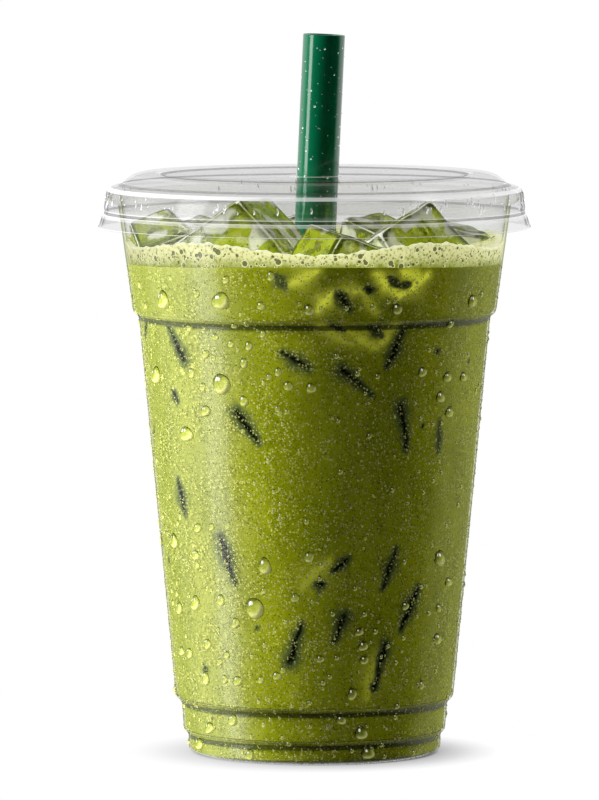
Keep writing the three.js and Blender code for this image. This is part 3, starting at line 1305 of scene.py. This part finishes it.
@dataclass
class Camera:
    """The camera of the photo's view, which also finds where a place of its image lies on the cup."""

    across: float = -3.6
    back: float = 2000.0
    up: float = 240.0
    tilt: float = 4.442
    lens: float = 376.56
    sensor: float = 36.0
    image_width: float = 599.0
    image_height: float = 800.0
    first_height: float = 70.0
    rounds: int = 8

    def build(self) -> None:
        """Adds the camera to the scene."""
        data = bpy.data.cameras.new("camera")
        data.lens = self.lens
        data.clip_end = 100.0
        camera = new_object("camera", data)
        camera.location = (self.across * MM, -self.back * MM, self.up * MM)
        camera.rotation_euler = (math.radians(90.0 - self.tilt), 0.0, 0.0)
        bpy.context.scene.camera = camera

    def scale(self) -> float:
        """Returns how many steps of the image one millimetre takes in front of the cup's axis."""
        return self.lens / self.sensor * self.image_height / self.back

    def on_wall(self, cup: Cup, right: list, down: list) -> tuple:
        """Finds where places of the image lie on the cup's outer wall.

        A ray leaves the camera through the place. It meets a cylinder of the wall's radius where
        the square of its distance from the axis is the radius squared, and the radius is worked
        out again at the height it meets, a few times over.

        Args:
            cup: The cup.
            right: How far right in the image each place is.
            down: How far down.

        Returns:
            Degrees to the right of the front, and heights.
        """
        focal = self.lens / self.sensor * self.image_height
        tilt = math.radians(self.tilt)
        side = (np.asarray(right) - self.image_width / 2.0) / focal
        rise = (self.image_height / 2.0 - np.asarray(down)) / focal
        ahead = math.cos(tilt) + rise * math.sin(tilt)
        climb = rise * math.cos(tilt) - math.sin(tilt)
        height = np.full(side.shape, self.first_height)
        for _ in range(self.rounds):
            a = side**2 + ahead**2
            b = self.across * side - self.back * ahead
            c = self.across**2 + self.back**2 - cup.radius_at(height) ** 2
            reach = (-b - np.sqrt(np.maximum(b * b - a * c, 0.0))) / a
            height = self.up + reach * climb
        x = self.across + reach * side
        y = -self.back + reach * ahead
        return np.degrees(np.arctan2(x, -y)), height


class Mark(Enum):
    """What a stroke in the drink is."""

    STREAK = "streak"
    FOLD = "fold"


@dataclass(frozen=True)
class Stroke:
    """A stroke in the drink that shows on the wall, from one place of the image to another.

    It is widest at the share of its length that fullest gives.
    """

    right: float
    down: float
    end_right: float
    end_down: float
    wide: float
    mark: Mark = Mark.STREAK
    fullest: float = 0.5
    strength: float = 1.0


@dataclass
class Drink:
    """The drink and its foam, height surfaces over the cup's inside."""

    cup: Cup
    ice: IceCubes
    straw: Straw
    camera: Camera
    strokes: tuple
    level: float = 118.4
    saddle: float = 0.7
    foam_level: float = 121.2
    foam_edge: float = 123.3
    foam_wave: float = 1.2
    foam_waves: int = 5
    reach: float = 0.2
    base_top: float = 20.0
    columns: int = 400
    rows: int = 145
    streak_share: float = 0.48
    fold_share: float = 0.8
    narrows: float = 0.6
    foam_columns: int = 1100
    foam_rows: int = 24
    foam_thickness: float = 0.25
    foam_lip: float = 0.985
    bubble_count: int = 300
    bubble_seed: int = 11
    bubble_dent: float = 0.35

    def meeting(self, angle: np.ndarray) -> np.ndarray:
        """Returns the height where drink and foam meet on the wall, a saddle over the angle."""
        return self.level - self.saddle * np.cos(2.0 * angle)

    def foam_top(self, angle: np.ndarray) -> np.ndarray:
        """Returns the height of the foam's upper edge on the wall, a slow wave with a dip in front."""
        return self.foam_edge + self.foam_wave * np.sin(self.foam_waves * angle)

    def wall_radius(self, height: np.ndarray) -> np.ndarray:
        """Returns the radius of what fills the cup, which reaches a little into the wall."""
        return self.cup.radius_at(height, self.cup.wall - self.reach)

    def marked(self, points: np.ndarray, mark: Mark) -> np.ndarray:
        """Works out how deep each point lies in the strokes of one kind.

        A stroke's value is 0.6 exp(-(d / w)^2) + 0.4 exp(-(d / 3 w)^2), where d is the distance
        from its line on the wall and w its width, which narrows from its fullest place. The points
        are first shifted by slow waves, so that no line is straight.

        Args:
            points: Points on the drink's side.
            mark: The kind of stroke.

        Returns:
            The largest value of all the strokes at each point.
        """
        strokes = [stroke for stroke in self.strokes if stroke.mark is mark]
        starts = self.camera.on_wall(self.cup, [s.right for s in strokes], [s.down for s in strokes])
        ends = self.camera.on_wall(self.cup, [s.end_right for s in strokes], [s.end_down for s in strokes])
        share = self.streak_share if mark is Mark.STREAK else self.fold_share
        angle, height = np.degrees(np.arctan2(points[:, 0], -points[:, 1])), points[:, 2]
        arc = math.radians(1.0) * np.hypot(points[:, 0], points[:, 1])
        wave = 0.2 * np.sin(0.8 * height + 0.5 * angle) + 0.1 * np.sin(1.9 * height - 0.9 * angle)
        depth = np.zeros(len(points))
        for stroke, start_angle, start_height, end_angle, end_height in zip(strokes, *starts, *ends):
            away_across = arc * (angle - start_angle) + wave
            away_up = height - start_height + 0.5 * wave
            run_across = arc * (end_angle - start_angle)
            run_up = end_height - start_height
            length = np.maximum(run_across**2 + run_up**2, 1e-6)
            along = np.clip((away_across * run_across + away_up * run_up) / length, 0.0, 1.0)
            away = np.hypot(away_across - along * run_across, away_up - along * run_up)
            reach = max(stroke.fullest, 1.0 - stroke.fullest)
            narrowing = 1.0 - self.narrows * np.abs(along - stroke.fullest) / reach
            width = stroke.wide / self.camera.scale() * share * narrowing
            value = 0.6 * bell(away, 0.0, width) + 0.4 * bell(away, 0.0, 3.0 * width)
            depth = np.maximum(depth, stroke.strength * value)
        return depth

    def tones(self, points: np.ndarray) -> dict:
        """Works out the painted light of the drink's pale side and the painted shade at its outline.

        The painted light is a pale side on the left, where the key light falls, with one paler upright
        band of painted sheen; painted shade deepens it at the outline. Each is a bell over the angle,
        exp(-((a - a0) / w)^n), and slow waves bend them all.

        Args:
            points: Points of the drink.

        Returns:
            The painted light and the painted shade, each from 0 to 1 for each point.
        """
        angle = np.degrees(np.arctan2(points[:, 0], -points[:, 1]))
        angle = angle + 1.5 * np.sin(0.11 * points[:, 2]) + 0.8 * np.sin(0.37 * points[:, 2] + 1.0)
        side = bell(angle, -62.0, 26.0, 4)
        band = bell(angle, -36.0, 9.5)
        return {"milk": 0.36 * side + 0.42 * band, "dusk": bell(angle, -72.0, 16.0, 4)}

    def build_drink(self) -> bpy.types.Object:
        """Builds the drink: a grid up the wall, closed by its base and its top.

        Rows of the side lie at shares of the height between the foot and the meeting line, so
        that the top row follows the saddle.

        Returns:
            The drink's piece.
        """
        outline = inside_of(self.cup.smooth_outside(), self.cup.wall - self.reach)
        low = denser(outline[outline[:, 1] < self.base_top], 0.8)
        start = low[-1, 1]
        share = np.linspace(0.0, 1.0, self.rows)[1:]
        angle = full_turn(self.columns)
        height = start + share[:, None] * (self.meeting(angle)[None, :] - start)
        radius = self.wall_radius(height)
        below = np.broadcast_to(low[1:, :1], (len(low) - 1, self.columns))
        below_height = np.broadcast_to(low[1:, 1:], below.shape)
        rings = np.linspace(0.94, 0.06, 15)[:, None]
        all_radius = np.concatenate([below, radius, rings * radius[-1]])
        all_height = np.concatenate([below_height, height, self.level + (height[-1] - self.level) * rings])
        points = around(all_radius, angle, all_height)
        shell = capped(points.reshape(-1, 3), len(all_radius), low[0, 1], self.level)
        side = np.hypot(shell.points[:, 0], shell.points[:, 1]) > 0.97 * self.wall_radius(shell.points[:, 2])
        for mark in Mark:
            shell.values[mark.value] = self.marked(shell.points, mark) * side
        shell.values.update(self.tones(shell.points))
        piece = shell.piece("drink_body", MatchaMilk().build(), Slot.DRINK, "drink")
        carve(piece, self.pockets(self.straw.radius - self.straw.wall - 0.02))
        return piece

    def pockets(self, straw_inner: float) -> list:
        """Returns the shells that the ice and the straw take out."""
        cubes = [self.ice.shape(cube, index, 0.12) for index, cube in enumerate(self.ice.cubes)]
        return [*cubes, self.straw.rod(straw_inner)]

    def bubbles(self, points: np.ndarray) -> np.ndarray:
        """Works out how deep each point of the foam's side lies in a bubble.

        A bubble's value is 1 - (d / r)^2 inside it, where d is the distance on the wall from its
        middle and r its radius.

        Args:
            points: Points on the foam's side, one row for each.

        Returns:
            The largest value of all the bubbles at each point.
        """
        draw = np.random.default_rng(self.bubble_seed)
        spins = draw.uniform(-math.pi, math.pi, self.bubble_count)
        lifts = draw.uniform(0.05, 0.8, self.bubble_count)
        sizes = 0.32 + 0.7 * draw.uniform(0.0, 1.0, self.bubble_count) ** 4
        angle = np.arctan2(points[:, 1], points[:, 0])
        radius = np.hypot(points[:, 0], points[:, 1])
        middles = self.meeting(spins) + lifts * (self.foam_top(spins) - self.meeting(spins))
        depth = np.zeros(len(points))
        for spin, middle, size in zip(spins, middles, sizes):
            turn = (angle - spin + math.pi) % (2.0 * math.pi) - math.pi
            away = np.hypot(turn * radius, points[:, 2] - middle)
            depth = np.maximum(depth, 1.0 - (away / size) ** 2)
        return depth

    def build_foam(self) -> bpy.types.Object:
        """Builds the foam: a ring up the wall, its upper surface and a hidden underside.

        The upper surface lies at the foam's level in the middle and climbs to its edge as the
        eighth power of the share of the radius. Bubbles at the wall are dents in the side.

        Returns:
            The foam's piece.
        """
        angle = full_turn(self.foam_columns)
        foot = self.meeting(angle)
        froth = 0.16 * np.sin(37.0 * angle) + 0.12 * np.sin(61.0 * angle + 1.0) + 0.1 * np.sin(113.0 * angle)
        share = np.linspace(0.0, 1.0, self.foam_rows)[:, None]
        side_height = foot + share * (self.foam_top(angle) + froth * share - foot)
        side_radius = self.wall_radius(side_height) - 10.0 * np.clip(share - 0.86, 0.0, 1.0) ** 2
        on_side = around(side_radius, angle, side_height).reshape(-1, 3)
        bubble = self.bubbles(on_side).reshape(side_radius.shape)
        side_radius = side_radius - self.bubble_dent * bubble * np.clip(1.0 - share, 0.0, 1.0)
        under = np.linspace(0.05, self.foam_lip, 6)[:, None]
        rings = (np.linspace(0.0, 1.0, 32)[::-1][1:-1] ** 0.5)[:, None] * self.foam_lip
        lumps = 0.25 * np.sin(9.0 * angle + 14.0 * rings) * np.sin(23.0 * rings + 4.0 * angle)
        top_height = self.foam_level + (side_height[-1] - self.foam_level) * rings**8 + lumps * (1.0 - rings)
        radius = np.concatenate([under * side_radius[0], side_radius, rings * side_radius[-1]])
        base = self.level - self.foam_thickness
        under_height = base + (foot - self.level) * under
        height = np.concatenate([under_height, side_height, top_height])
        shell = capped(around(radius, angle, height).reshape(-1, 3), len(radius), base, self.foam_level)
        spin = np.arctan2(shell.points[:, 1], shell.points[:, 0])
        rise = (shell.points[:, 2] - self.meeting(spin)) / (self.foam_top(spin) - self.meeting(spin))
        shell.values["rise"] = np.clip(rise, 0.0, 1.0)
        shell.values["bubble"] = np.zeros(len(shell.points))
        first = len(under) * self.foam_columns
        shell.values["bubble"][first : first + bubble.size] = bubble.ravel()
        piece = shell.piece("foam_skin", FineFoam().build(), Slot.FOAM, "foam")
        carve(piece, self.pockets(0.01))
        return piece

    def build(self) -> list:
        """Builds the drink and its foam."""
        return [self.build_drink(), self.build_foam()]


@dataclass(frozen=True)
class Drops:
    """Drops of water on a round wall, each a closed dome that follows the wall.

    A drop is laid out on the wall by an angle and a height. A ring at share u of the drop's
    outline stands off the wall by bulge * width * sqrt(1 - u^2), more towards its foot, and the
    last ring and its pole lie just inside the wall. A drop of one ring is only that ring and its
    two poles.
    """

    sides: int
    rings: int
    bulge: float = 0.28
    sunk: float = 0.12
    seed: int = 1

    def shell(
        self,
        radius_at: Callable,
        angle: np.ndarray,
        height: np.ndarray,
        wide: np.ndarray,
        tall: np.ndarray,
    ) -> Shell:
        """Makes the drops.

        Args:
            radius_at: The wall's radius at a height.
            angle: Where each drop is, in degrees to the right of the front.
            height: The height of each drop's middle.
            wide: Their widths.
            tall: Their heights.

        Returns:
            All of them as one shell, with the place in the drop of each point.
        """
        draw = np.random.default_rng(self.seed)
        count = len(angle)
        small = np.minimum(wide, tall)
        ring = np.sin(np.linspace(0.0, math.pi / 2.0, self.rings + 1)[1:])
        share = ring if self.rings == 1 else np.concatenate([ring, [0.96]])
        spin = full_turn(self.sides)
        phase = draw.uniform(0.0, 2.0 * math.pi, (count, 1, 2))
        lobe = 1.0 + 0.07 * np.sin(2.0 * spin + phase[..., :1]) + 0.05 * np.sin(3.0 * spin + phase[..., 1:])
        across = share[None, :, None] * np.sin(spin) * lobe
        up = share[None, :, None] * np.cos(spin) * lobe
        stand = self.bulge * np.sqrt(np.clip(1.0 - share**2, 0.0, 1.0))[None, :, None] * (1.0 - 0.35 * up)
        lift = stand * small[:, None, None]
        lift[:, self.rings - 1] = 0.0
        lift[:, -1] -= 0.4 * self.sunk
        z = height[:, None, None] + up * tall[:, None, None] / 2.0
        wall = radius_at(z)
        middle = np.radians(angle)
        turn = middle[:, None, None] + across * (1.0 - 0.16 * up) * wide[:, None, None] / 2.0 / wall
        points = from_front(wall + lift, turn, z).reshape(count, -1, 3)
        tips = from_front(radius_at(height) + self.bulge * small, middle, height)
        bases = from_front(radius_at(height) - self.sunk, middle, height)
        every = np.concatenate([tips[:, None], points, bases[:, None]], 1)
        side = np.concatenate([[0.0], (share[:, None] * np.sin(spin)).ravel(), [0.0]])
        rise = np.concatenate([[0.0], (share[:, None] * np.cos(spin)).ravel(), [0.0]])
        values = {"side": np.tile(side, count), "rise": np.tile(rise, count)}
        return Shell(every.reshape(-1, 3), self.faces(count, len(share)), values)

    def faces(self, count: int, rings: int) -> list:
        """Joins the points of the drops: a fan, the rings' quads and a fan below for each.

        Args:
            count: The number of drops.
            rings: The rings of each drop.

        Returns:
            The faces of all the drops.
        """
        column = np.arange(self.sides)
        after = (column + 1) % self.sides
        last = 1 + (rings - 1) * self.sides
        tip = np.stack([np.zeros(self.sides, int), 1 + column, 1 + after], -1)[:, ::-1]
        body = grid_faces(rings, self.sides, first=1)
        base = np.stack([last + column, last + after, np.full(self.sides, last + self.sides)], -1)
        offset = (np.arange(count) * (last + self.sides + 1))[:, None, None]
        return [(block[None] + offset).reshape(-1, block.shape[1]) for block in (tip, body, base)]


@dataclass(frozen=True)
class SeenDrop:
    """A drop that stands out: its place in the image, its width and its height there."""

    right: float
    down: float
    wide: float
    tall: float


@dataclass(frozen=True)
class Spread:
    """Places spread evenly round a wall: how many, the draw's seed and the heights they lie between."""

    count: int
    seed: int
    low: float
    high: float

    def draw(self) -> tuple:
        """Draws the places.

        Returns:
            Angles in degrees, heights and a value from 0 to 1 for each, which sets its size.
        """
        draw = np.random.default_rng(self.seed)
        angle = draw.uniform(-180.0, 180.0, self.count)
        height = draw.uniform(self.low, self.high, self.count)
        return angle, height, draw.uniform(0.0, 1.0, self.count)


@dataclass
class Dew:
    """All the water on the outside of the cup, the lid and the straw.

    The photo hides the sides past an angle, where large drops are spread instead.
    """

    cup: Cup
    lid: Lid
    straw: Straw
    camera: Camera
    seen: tuple
    hidden_past: float = 95.0
    hidden: Spread = Spread(190, 5, 8.0, 116.0)
    small: Spread = Spread(1500, 7, 1.5, 116.0)
    fine: Spread = Spread(19500, 9, 1.0, 118.0)
    drips: Spread = Spread(130, 21, 132.0, 134.6)
    beads: Spread = Spread(300, 23, 100.0, 171.0)

    def large_drops(self) -> tuple:
        """Places the drops that stand out, and as many again on the sides that the photo hides.

        Returns:
            Angles, heights, widths and tallnesses.
        """
        angle, height = self.camera.on_wall(
            self.cup, [drop.right for drop in self.seen], [drop.down for drop in self.seen]
        )
        squeeze = np.maximum(np.cos(np.radians(angle)), 0.4)
        wide = np.array([drop.wide for drop in self.seen]) / self.camera.scale() / squeeze
        tall = np.array([drop.tall for drop in self.seen]) / self.camera.scale()
        more_angle, more_height, size = self.hidden.draw()
        hidden = np.abs(more_angle) > self.hidden_past
        more_wide = (1.2 + 2.6 * size**3)[hidden]
        return (
            np.concatenate([angle, more_angle[hidden]]),
            np.concatenate([height, more_height[hidden]]),
            np.concatenate([wide, more_wide]),
            np.concatenate([tall, 1.25 * more_wide]),
        )

    def build(self) -> list:
        """Builds the large, small and fine drops, the drips in the lid and the dew on the straw.

        Returns:
            Their pieces.
        """
        water = WaterDrop().build()
        # The lid's and the straw's water is painted the same way, in greys, with a stronger painted glow.
        clear_water = WaterDrop(
            "lid_water",
            body=grey(0.8),
            shade=grey(0.8),
            rim=grey(0.5),
            foot=WHITE,
            foot_glow=grey(0.9),
            body_cover=0.3,
            rim_cover=0.2,
            glow=0.9,
        ).build()
        wall = self.cup.radius_at
        large = Drops(20, 6, seed=2).shell(wall, *self.large_drops())
        angle, height, size = self.small.draw()
        wide = 0.5 + 0.9 * size**3
        small = Drops(10, 3, seed=3).shell(wall, angle, height, wide, 1.2 * wide)
        angle, height, size = self.fine.draw()
        wide = 0.22 + 0.3 * size**2
        fine = Drops(5, 1, 0.3, 0.1, 4).shell(wall, angle, height, wide, 1.1 * wide)
        angle, height, size = self.drips.draw()
        wide, tall = 0.3 + 0.25 * size, 0.5 + 2.2 * size**2
        drips = Drops(8, 2, 0.25, 0.1, 5).shell(self.lid.skirt_at, angle, height, wide, tall)
        angle, height, size = self.beads.draw()
        wide, tall = 0.2 + 0.4 * size**4, 0.2 + 0.5 * size**4
        beads = Drops(8, 2, 0.4, 0.08, 6).shell(self.straw.radius_at, angle, height, wide, tall)
        pieces = [
            large.piece("drops_large", water, Slot.CUP),
            small.piece("drops_small", water, Slot.CUP),
            fine.piece("drops_fine", WaterSpeck().build(), Slot.CUP),
            drips.piece("lid_drips", clear_water, Slot.LID),
            self.straw.leaned(beads).piece("straw_drops", clear_water, Slot.STRAW),
        ]
        for piece in pieces:
            piece.visible_shadow = False
        return pieces


@dataclass(frozen=True)
class SoftBox:
    """A soft box that looks at the cup: its place and size in metres and its power in watts.

    One that shows in gloss lights nothing, and one that lights surfaces shows in no gloss.
    """

    name: str
    at: tuple
    size: tuple
    power: float
    in_gloss: bool = False
    aim: float = 0.08

    def build(self) -> bpy.types.Object:
        """Adds the light.

        Returns:
            The light, turned to a point on the cup's axis.
        """
        data = bpy.data.lights.new(self.name, "AREA")
        data.shape = "RECTANGLE"
        data.size, data.size_y = self.size
        data.energy = self.power
        light = new_object(self.name, data)
        light.location = self.at
        down = math.atan2(self.at[2] - self.aim, math.hypot(self.at[0], self.at[1]))
        light.rotation_euler = (math.pi / 2.0 - down, 0.0, math.atan2(self.at[0], -self.at[1]))
        light.visible_camera = False
        light.visible_diffuse = not self.in_gloss
        light.visible_glossy = self.in_gloss
        light.visible_transmission = self.in_gloss
        return light


@dataclass
class Studio:
    """The floor, the lights and the room."""

    camera: Camera
    ambient: float = 0.05
    floor_size: float = 30.0
    shadow_reach: float = 14.0
    bounces: int = 40
    key: SoftBox = SoftBox("key", (-1.5, -0.15, 0.75), (0.6, 0.9), 41.0)
    rim: SoftBox = SoftBox("rim", (1.25, 0.82, 0.6), (0.6, 0.9), 15.0)
    band: SoftBox = SoftBox("band", (-1.45, -0.47, 0.05), (0.5, 2.0), 9.0, in_gloss=True)
    sheen: SoftBox = SoftBox("sheen", (-1.5, 0.2, 0.05), (1.6, 2.0), 10.0, in_gloss=True)
    fill: SoftBox = SoftBox("fill", (-0.5, -1.5, 1.0), (0.9, 0.9), 20.0)

    def build_floor(self) -> bpy.types.Object:
        """Lays a white floor whose only shade is a painted soft shadow near the cup.

        Returns:
            The floor.
        """
        half = self.floor_size / 2.0
        mesh = bpy.data.meshes.new("floor")
        corners = [(-half, -half, 0), (half, -half, 0), (half, half, 0), (-half, half, 0)]
        mesh.from_pydata(corners, [], [(0, 1, 2, 3)])
        floor = new_object("floor", mesh)
        material, shader = new_shader("floor_white")
        matt = shader.bsdf("Diffuse", {"Color": grey(0.3)})
        reach = {"Distance": self.shadow_reach * MM}
        # Painted shadow: the glow is dimmed by ambient occlusion near the cup, more on the right.
        openness = shader.add("ShaderNodeAmbientOcclusion", {"samples": 8}, reach).outputs["AO"]
        side = 0.45 + 0.45 * shader.axis(shader.place(), "X").step(-35.0, 35.0)
        strength = 1.0 - side * (1.0 - Value(shader, openness))
        glow = shader.add("ShaderNodeEmission", None, {"Color": WHITE, "Strength": strength})
        shader.finish(shader.blend(shader.ray("Camera"), matt, glow))
        mesh.materials.append(material)
        floor.visible_glossy = False
        return floor

    def reaches(self, light: bpy.types.Object, pieces: list) -> None:
        """Lets a light reach only some pieces.

        Args:
            light: The light.
            pieces: The pieces that it may reach.
        """
        lit = bpy.data.collections.new("lit_by_" + light.name)
        for piece in pieces:
            lit.objects.link(piece)
        light.light_linking.receiver_collection = lit

    def build_world(self) -> None:
        """Makes the room: white to the camera, pale behind the cup, dim in front of it."""
        world = bpy.data.worlds.new("room")
        world.use_nodes = True
        bpy.context.scene.world = world
        shader = Shader(world.node_tree)
        direction = shader.coordinates("Generated")
        behind = shader.axis(direction, "Y").step(-0.05, 0.4)
        above = shader.axis(direction, "Z").step(0.0, 0.8)
        seen = shader.ray("Camera")
        matt = shader.ray("Diffuse") * self.ambient
        shines = shader.ray("Glossy") * (0.6 * behind)
        bends = shader.ray("Transmission") * (0.12 + 0.85 * behind.larger(above))
        strength = (matt + shines + bends) * (1.0 - seen) + seen
        background = shader.add("ShaderNodeBackground", None, {"Color": WHITE, "Strength": strength})
        shader.finish(background, "ShaderNodeOutputWorld")

    def build(self, plain: list, ice: list, foam: bpy.types.Object, straw: bpy.types.Object) -> None:
        """Builds the studio, whose lights each reach only what they should.

        The fill light is for the foam and the ice. The key light leaves the foam out, which would
        be too bright on one side, and the wide sheen leaves the straw out, which shows one stripe.

        Args:
            plain: The pieces that all lights but the fill light reach.
            ice: The ice cubes.
            foam: The foam.
            straw: The straw.
        """
        self.camera.build()
        floor = self.build_floor()
        self.build_world()
        key = self.key.build()
        self.rim.build()
        self.band.build()
        sheen = self.sheen.build()
        fill = self.fill.build()
        self.reaches(key, [*plain, *ice, straw, floor])
        self.reaches(sheen, [*plain, *ice, foam])
        self.reaches(fill, [*ice, foam])
        scene = bpy.context.scene
        scene.view_settings.view_transform = "Standard"
        scene.view_settings.look = "None"
        scene.cycles.transparent_max_bounces = self.bounces


STROKES = (
    Stroke(166, 326, 183, 360, 8, fullest=0.8),
    Stroke(170, 389, 176, 403, 6),
    Stroke(145, 322, 143, 337, 5),
    Stroke(152, 427, 152, 440, 4, strength=0.8),
    Stroke(235, 412, 259, 443, 8, fullest=0.25),
    Stroke(281, 353, 308, 368, 8, fullest=0.6),
    Stroke(176, 480, 184, 515, 9),
    Stroke(219, 538, 234, 583, 9, fullest=0.3),
    Stroke(167, 555, 167, 566, 4, strength=0.8),
    Stroke(317, 585, 322, 585, 11),
    Stroke(350, 558, 334, 571, 7),
    Stroke(301, 624, 290, 662, 8, fullest=0.9),
    Stroke(344, 617, 335, 641, 8, fullest=0.15),
    Stroke(398, 548, 384, 588, 8, strength=0.9),
    Stroke(419, 589, 402, 630, 9, fullest=0.4),
    Stroke(386, 645, 375, 691, 7, fullest=0.1),
    Stroke(377, 680, 375, 691, 6),
    Stroke(369, 288, 369, 292, 9),
    Stroke(340, 296, 350, 310, 8, fullest=0.2),
    Stroke(369, 327, 383, 337, 7, strength=0.8),
    Stroke(329, 324, 345, 331, 6, strength=0.6),
    Stroke(404, 331, 388, 367, 8),
    Stroke(342, 370, 373, 396, 7, fullest=0.1),
    Stroke(402, 406, 408, 450, 8, fullest=0.2),
    Stroke(441, 420, 440, 452, 6, strength=0.75),
    Stroke(439, 350, 439, 352, 7),
    Stroke(471, 360, 471, 363, 4, strength=0.8),
    Stroke(424, 425, 424, 427, 3),
    Stroke(276, 276, 284, 288, 10, strength=0.7),
    Stroke(389, 278, 400, 287, 7, strength=0.7),
    Stroke(400, 287, 413, 284, 7, strength=0.65),
    Stroke(202, 666, 205, 673, 5),
    Stroke(256, 627, 258, 629, 4, strength=0.8),
    Stroke(288, 285, 318, 271, 7, Mark.FOLD),
    Stroke(317, 311, 334, 292, 7, Mark.FOLD),
    Stroke(334, 292, 362, 291, 7, Mark.FOLD, strength=0.7),
    Stroke(362, 291, 378, 314, 6, Mark.FOLD, strength=0.5),
    Stroke(377, 274, 401, 296, 8, Mark.FOLD),
    Stroke(401, 296, 430, 274, 8, Mark.FOLD),
    Stroke(404, 272, 420, 276, 10, Mark.FOLD),
    Stroke(318, 326, 352, 345, 7, Mark.FOLD, strength=0.45),
    Stroke(345, 330, 378, 348, 7, Mark.FOLD, strength=0.5),
    Stroke(378, 348, 396, 326, 7, Mark.FOLD, strength=0.5),
    Stroke(300, 590, 330, 560, 8, Mark.FOLD, strength=0.35),
    Stroke(366, 700, 380, 650, 9, Mark.FOLD, strength=0.35),
)

DROPS = tuple(
    SeenDrop(*drop)
    for drop in (
        *((164, 300, 11, 18), (221, 301, 17, 19), (222, 384, 17, 22), (226, 280, 8, 8)),
        *((271, 276, 8, 10), (261, 306, 9, 9), (309, 310, 11, 11), (397, 309, 10, 11)),
        *((197, 294, 6, 8), (231, 344, 7, 7), (249, 346, 8, 9), (206, 354, 7, 9)),
        *((244, 363, 8, 10), (192, 373, 6, 10), (157, 375, 8, 17), (278, 372, 8, 9)),
        *((288, 386, 10, 10), (311, 388, 10, 11), (244, 401, 9, 11), (206, 411, 9, 12)),
        *((472, 301, 8, 14), (422, 372, 8, 11), (463, 377, 6, 11), (440, 397, 8, 12)),
        *((449, 412, 8, 11), (187, 434, 12, 16), (309, 557, 10, 12), (439, 558, 10, 16)),
        *((255, 608, 18, 22), (265, 566, 13, 17), (196, 603, 9, 15), (221, 600, 8, 12)),
        *((180, 608, 5, 13), (236, 623, 9, 11), (208, 644, 7, 11), (206, 678, 7, 14)),
        *((238, 681, 9, 11), (277, 676, 9, 9), (295, 598, 9, 9), (437, 639, 7, 13)),
        *((363, 646, 10, 10), (364, 660, 9, 9), (359, 632, 9, 8), (421, 685, 5, 10)),
        *((233, 720, 9, 12), (210, 728, 8, 12), (250, 755, 9, 11), (361, 733, 13, 13)),
        *((341, 720, 10, 9), (368, 753, 14, 12), (175, 541, 6, 15), (196, 555, 7, 11)),
        *((198, 528, 7, 10), (212, 527, 6, 8), (190, 653, 5, 11), (182, 651, 5, 9)),
        *((225, 679, 6, 9), (261, 680, 7, 8), (227, 655, 6, 8), (220, 662, 6, 8)),
        *((264, 591, 6, 7), (448, 582, 6, 10), (438, 608, 5, 9), (405, 606, 7, 9)),
        *((320, 659, 8, 8), (352, 694, 9, 13), (447, 377, 8, 11), (450, 324, 6, 9)),
        *((234, 326, 6, 6), (215, 337, 7, 7), (203, 387, 7, 8), (269, 377, 6, 7)),
        *((263, 334, 7, 8), (189, 328, 5, 7), (246, 324, 6, 6), (200, 744, 6, 12)),
    )
)


def main() -> None:
    """Builds the latte, its room and its camera, and reports each piece."""
    logging.basicConfig(level=logging.INFO, format="%(name)s: %(message)s")
    cup, lid, ice, straw, camera = Cup(), Lid(), IceCubes(), Straw(), Camera()
    clear = [cup.build(), lid.build()]
    tube = straw.build()
    cubes = ice.build()
    body, foam = Drink(cup, ice, straw, camera, STROKES).build()
    water = Dew(cup, lid, straw, camera, DROPS).build()
    Studio(camera).build([*clear, body, *water], cubes, foam, tube)


if __name__ == "__main__":
    main()
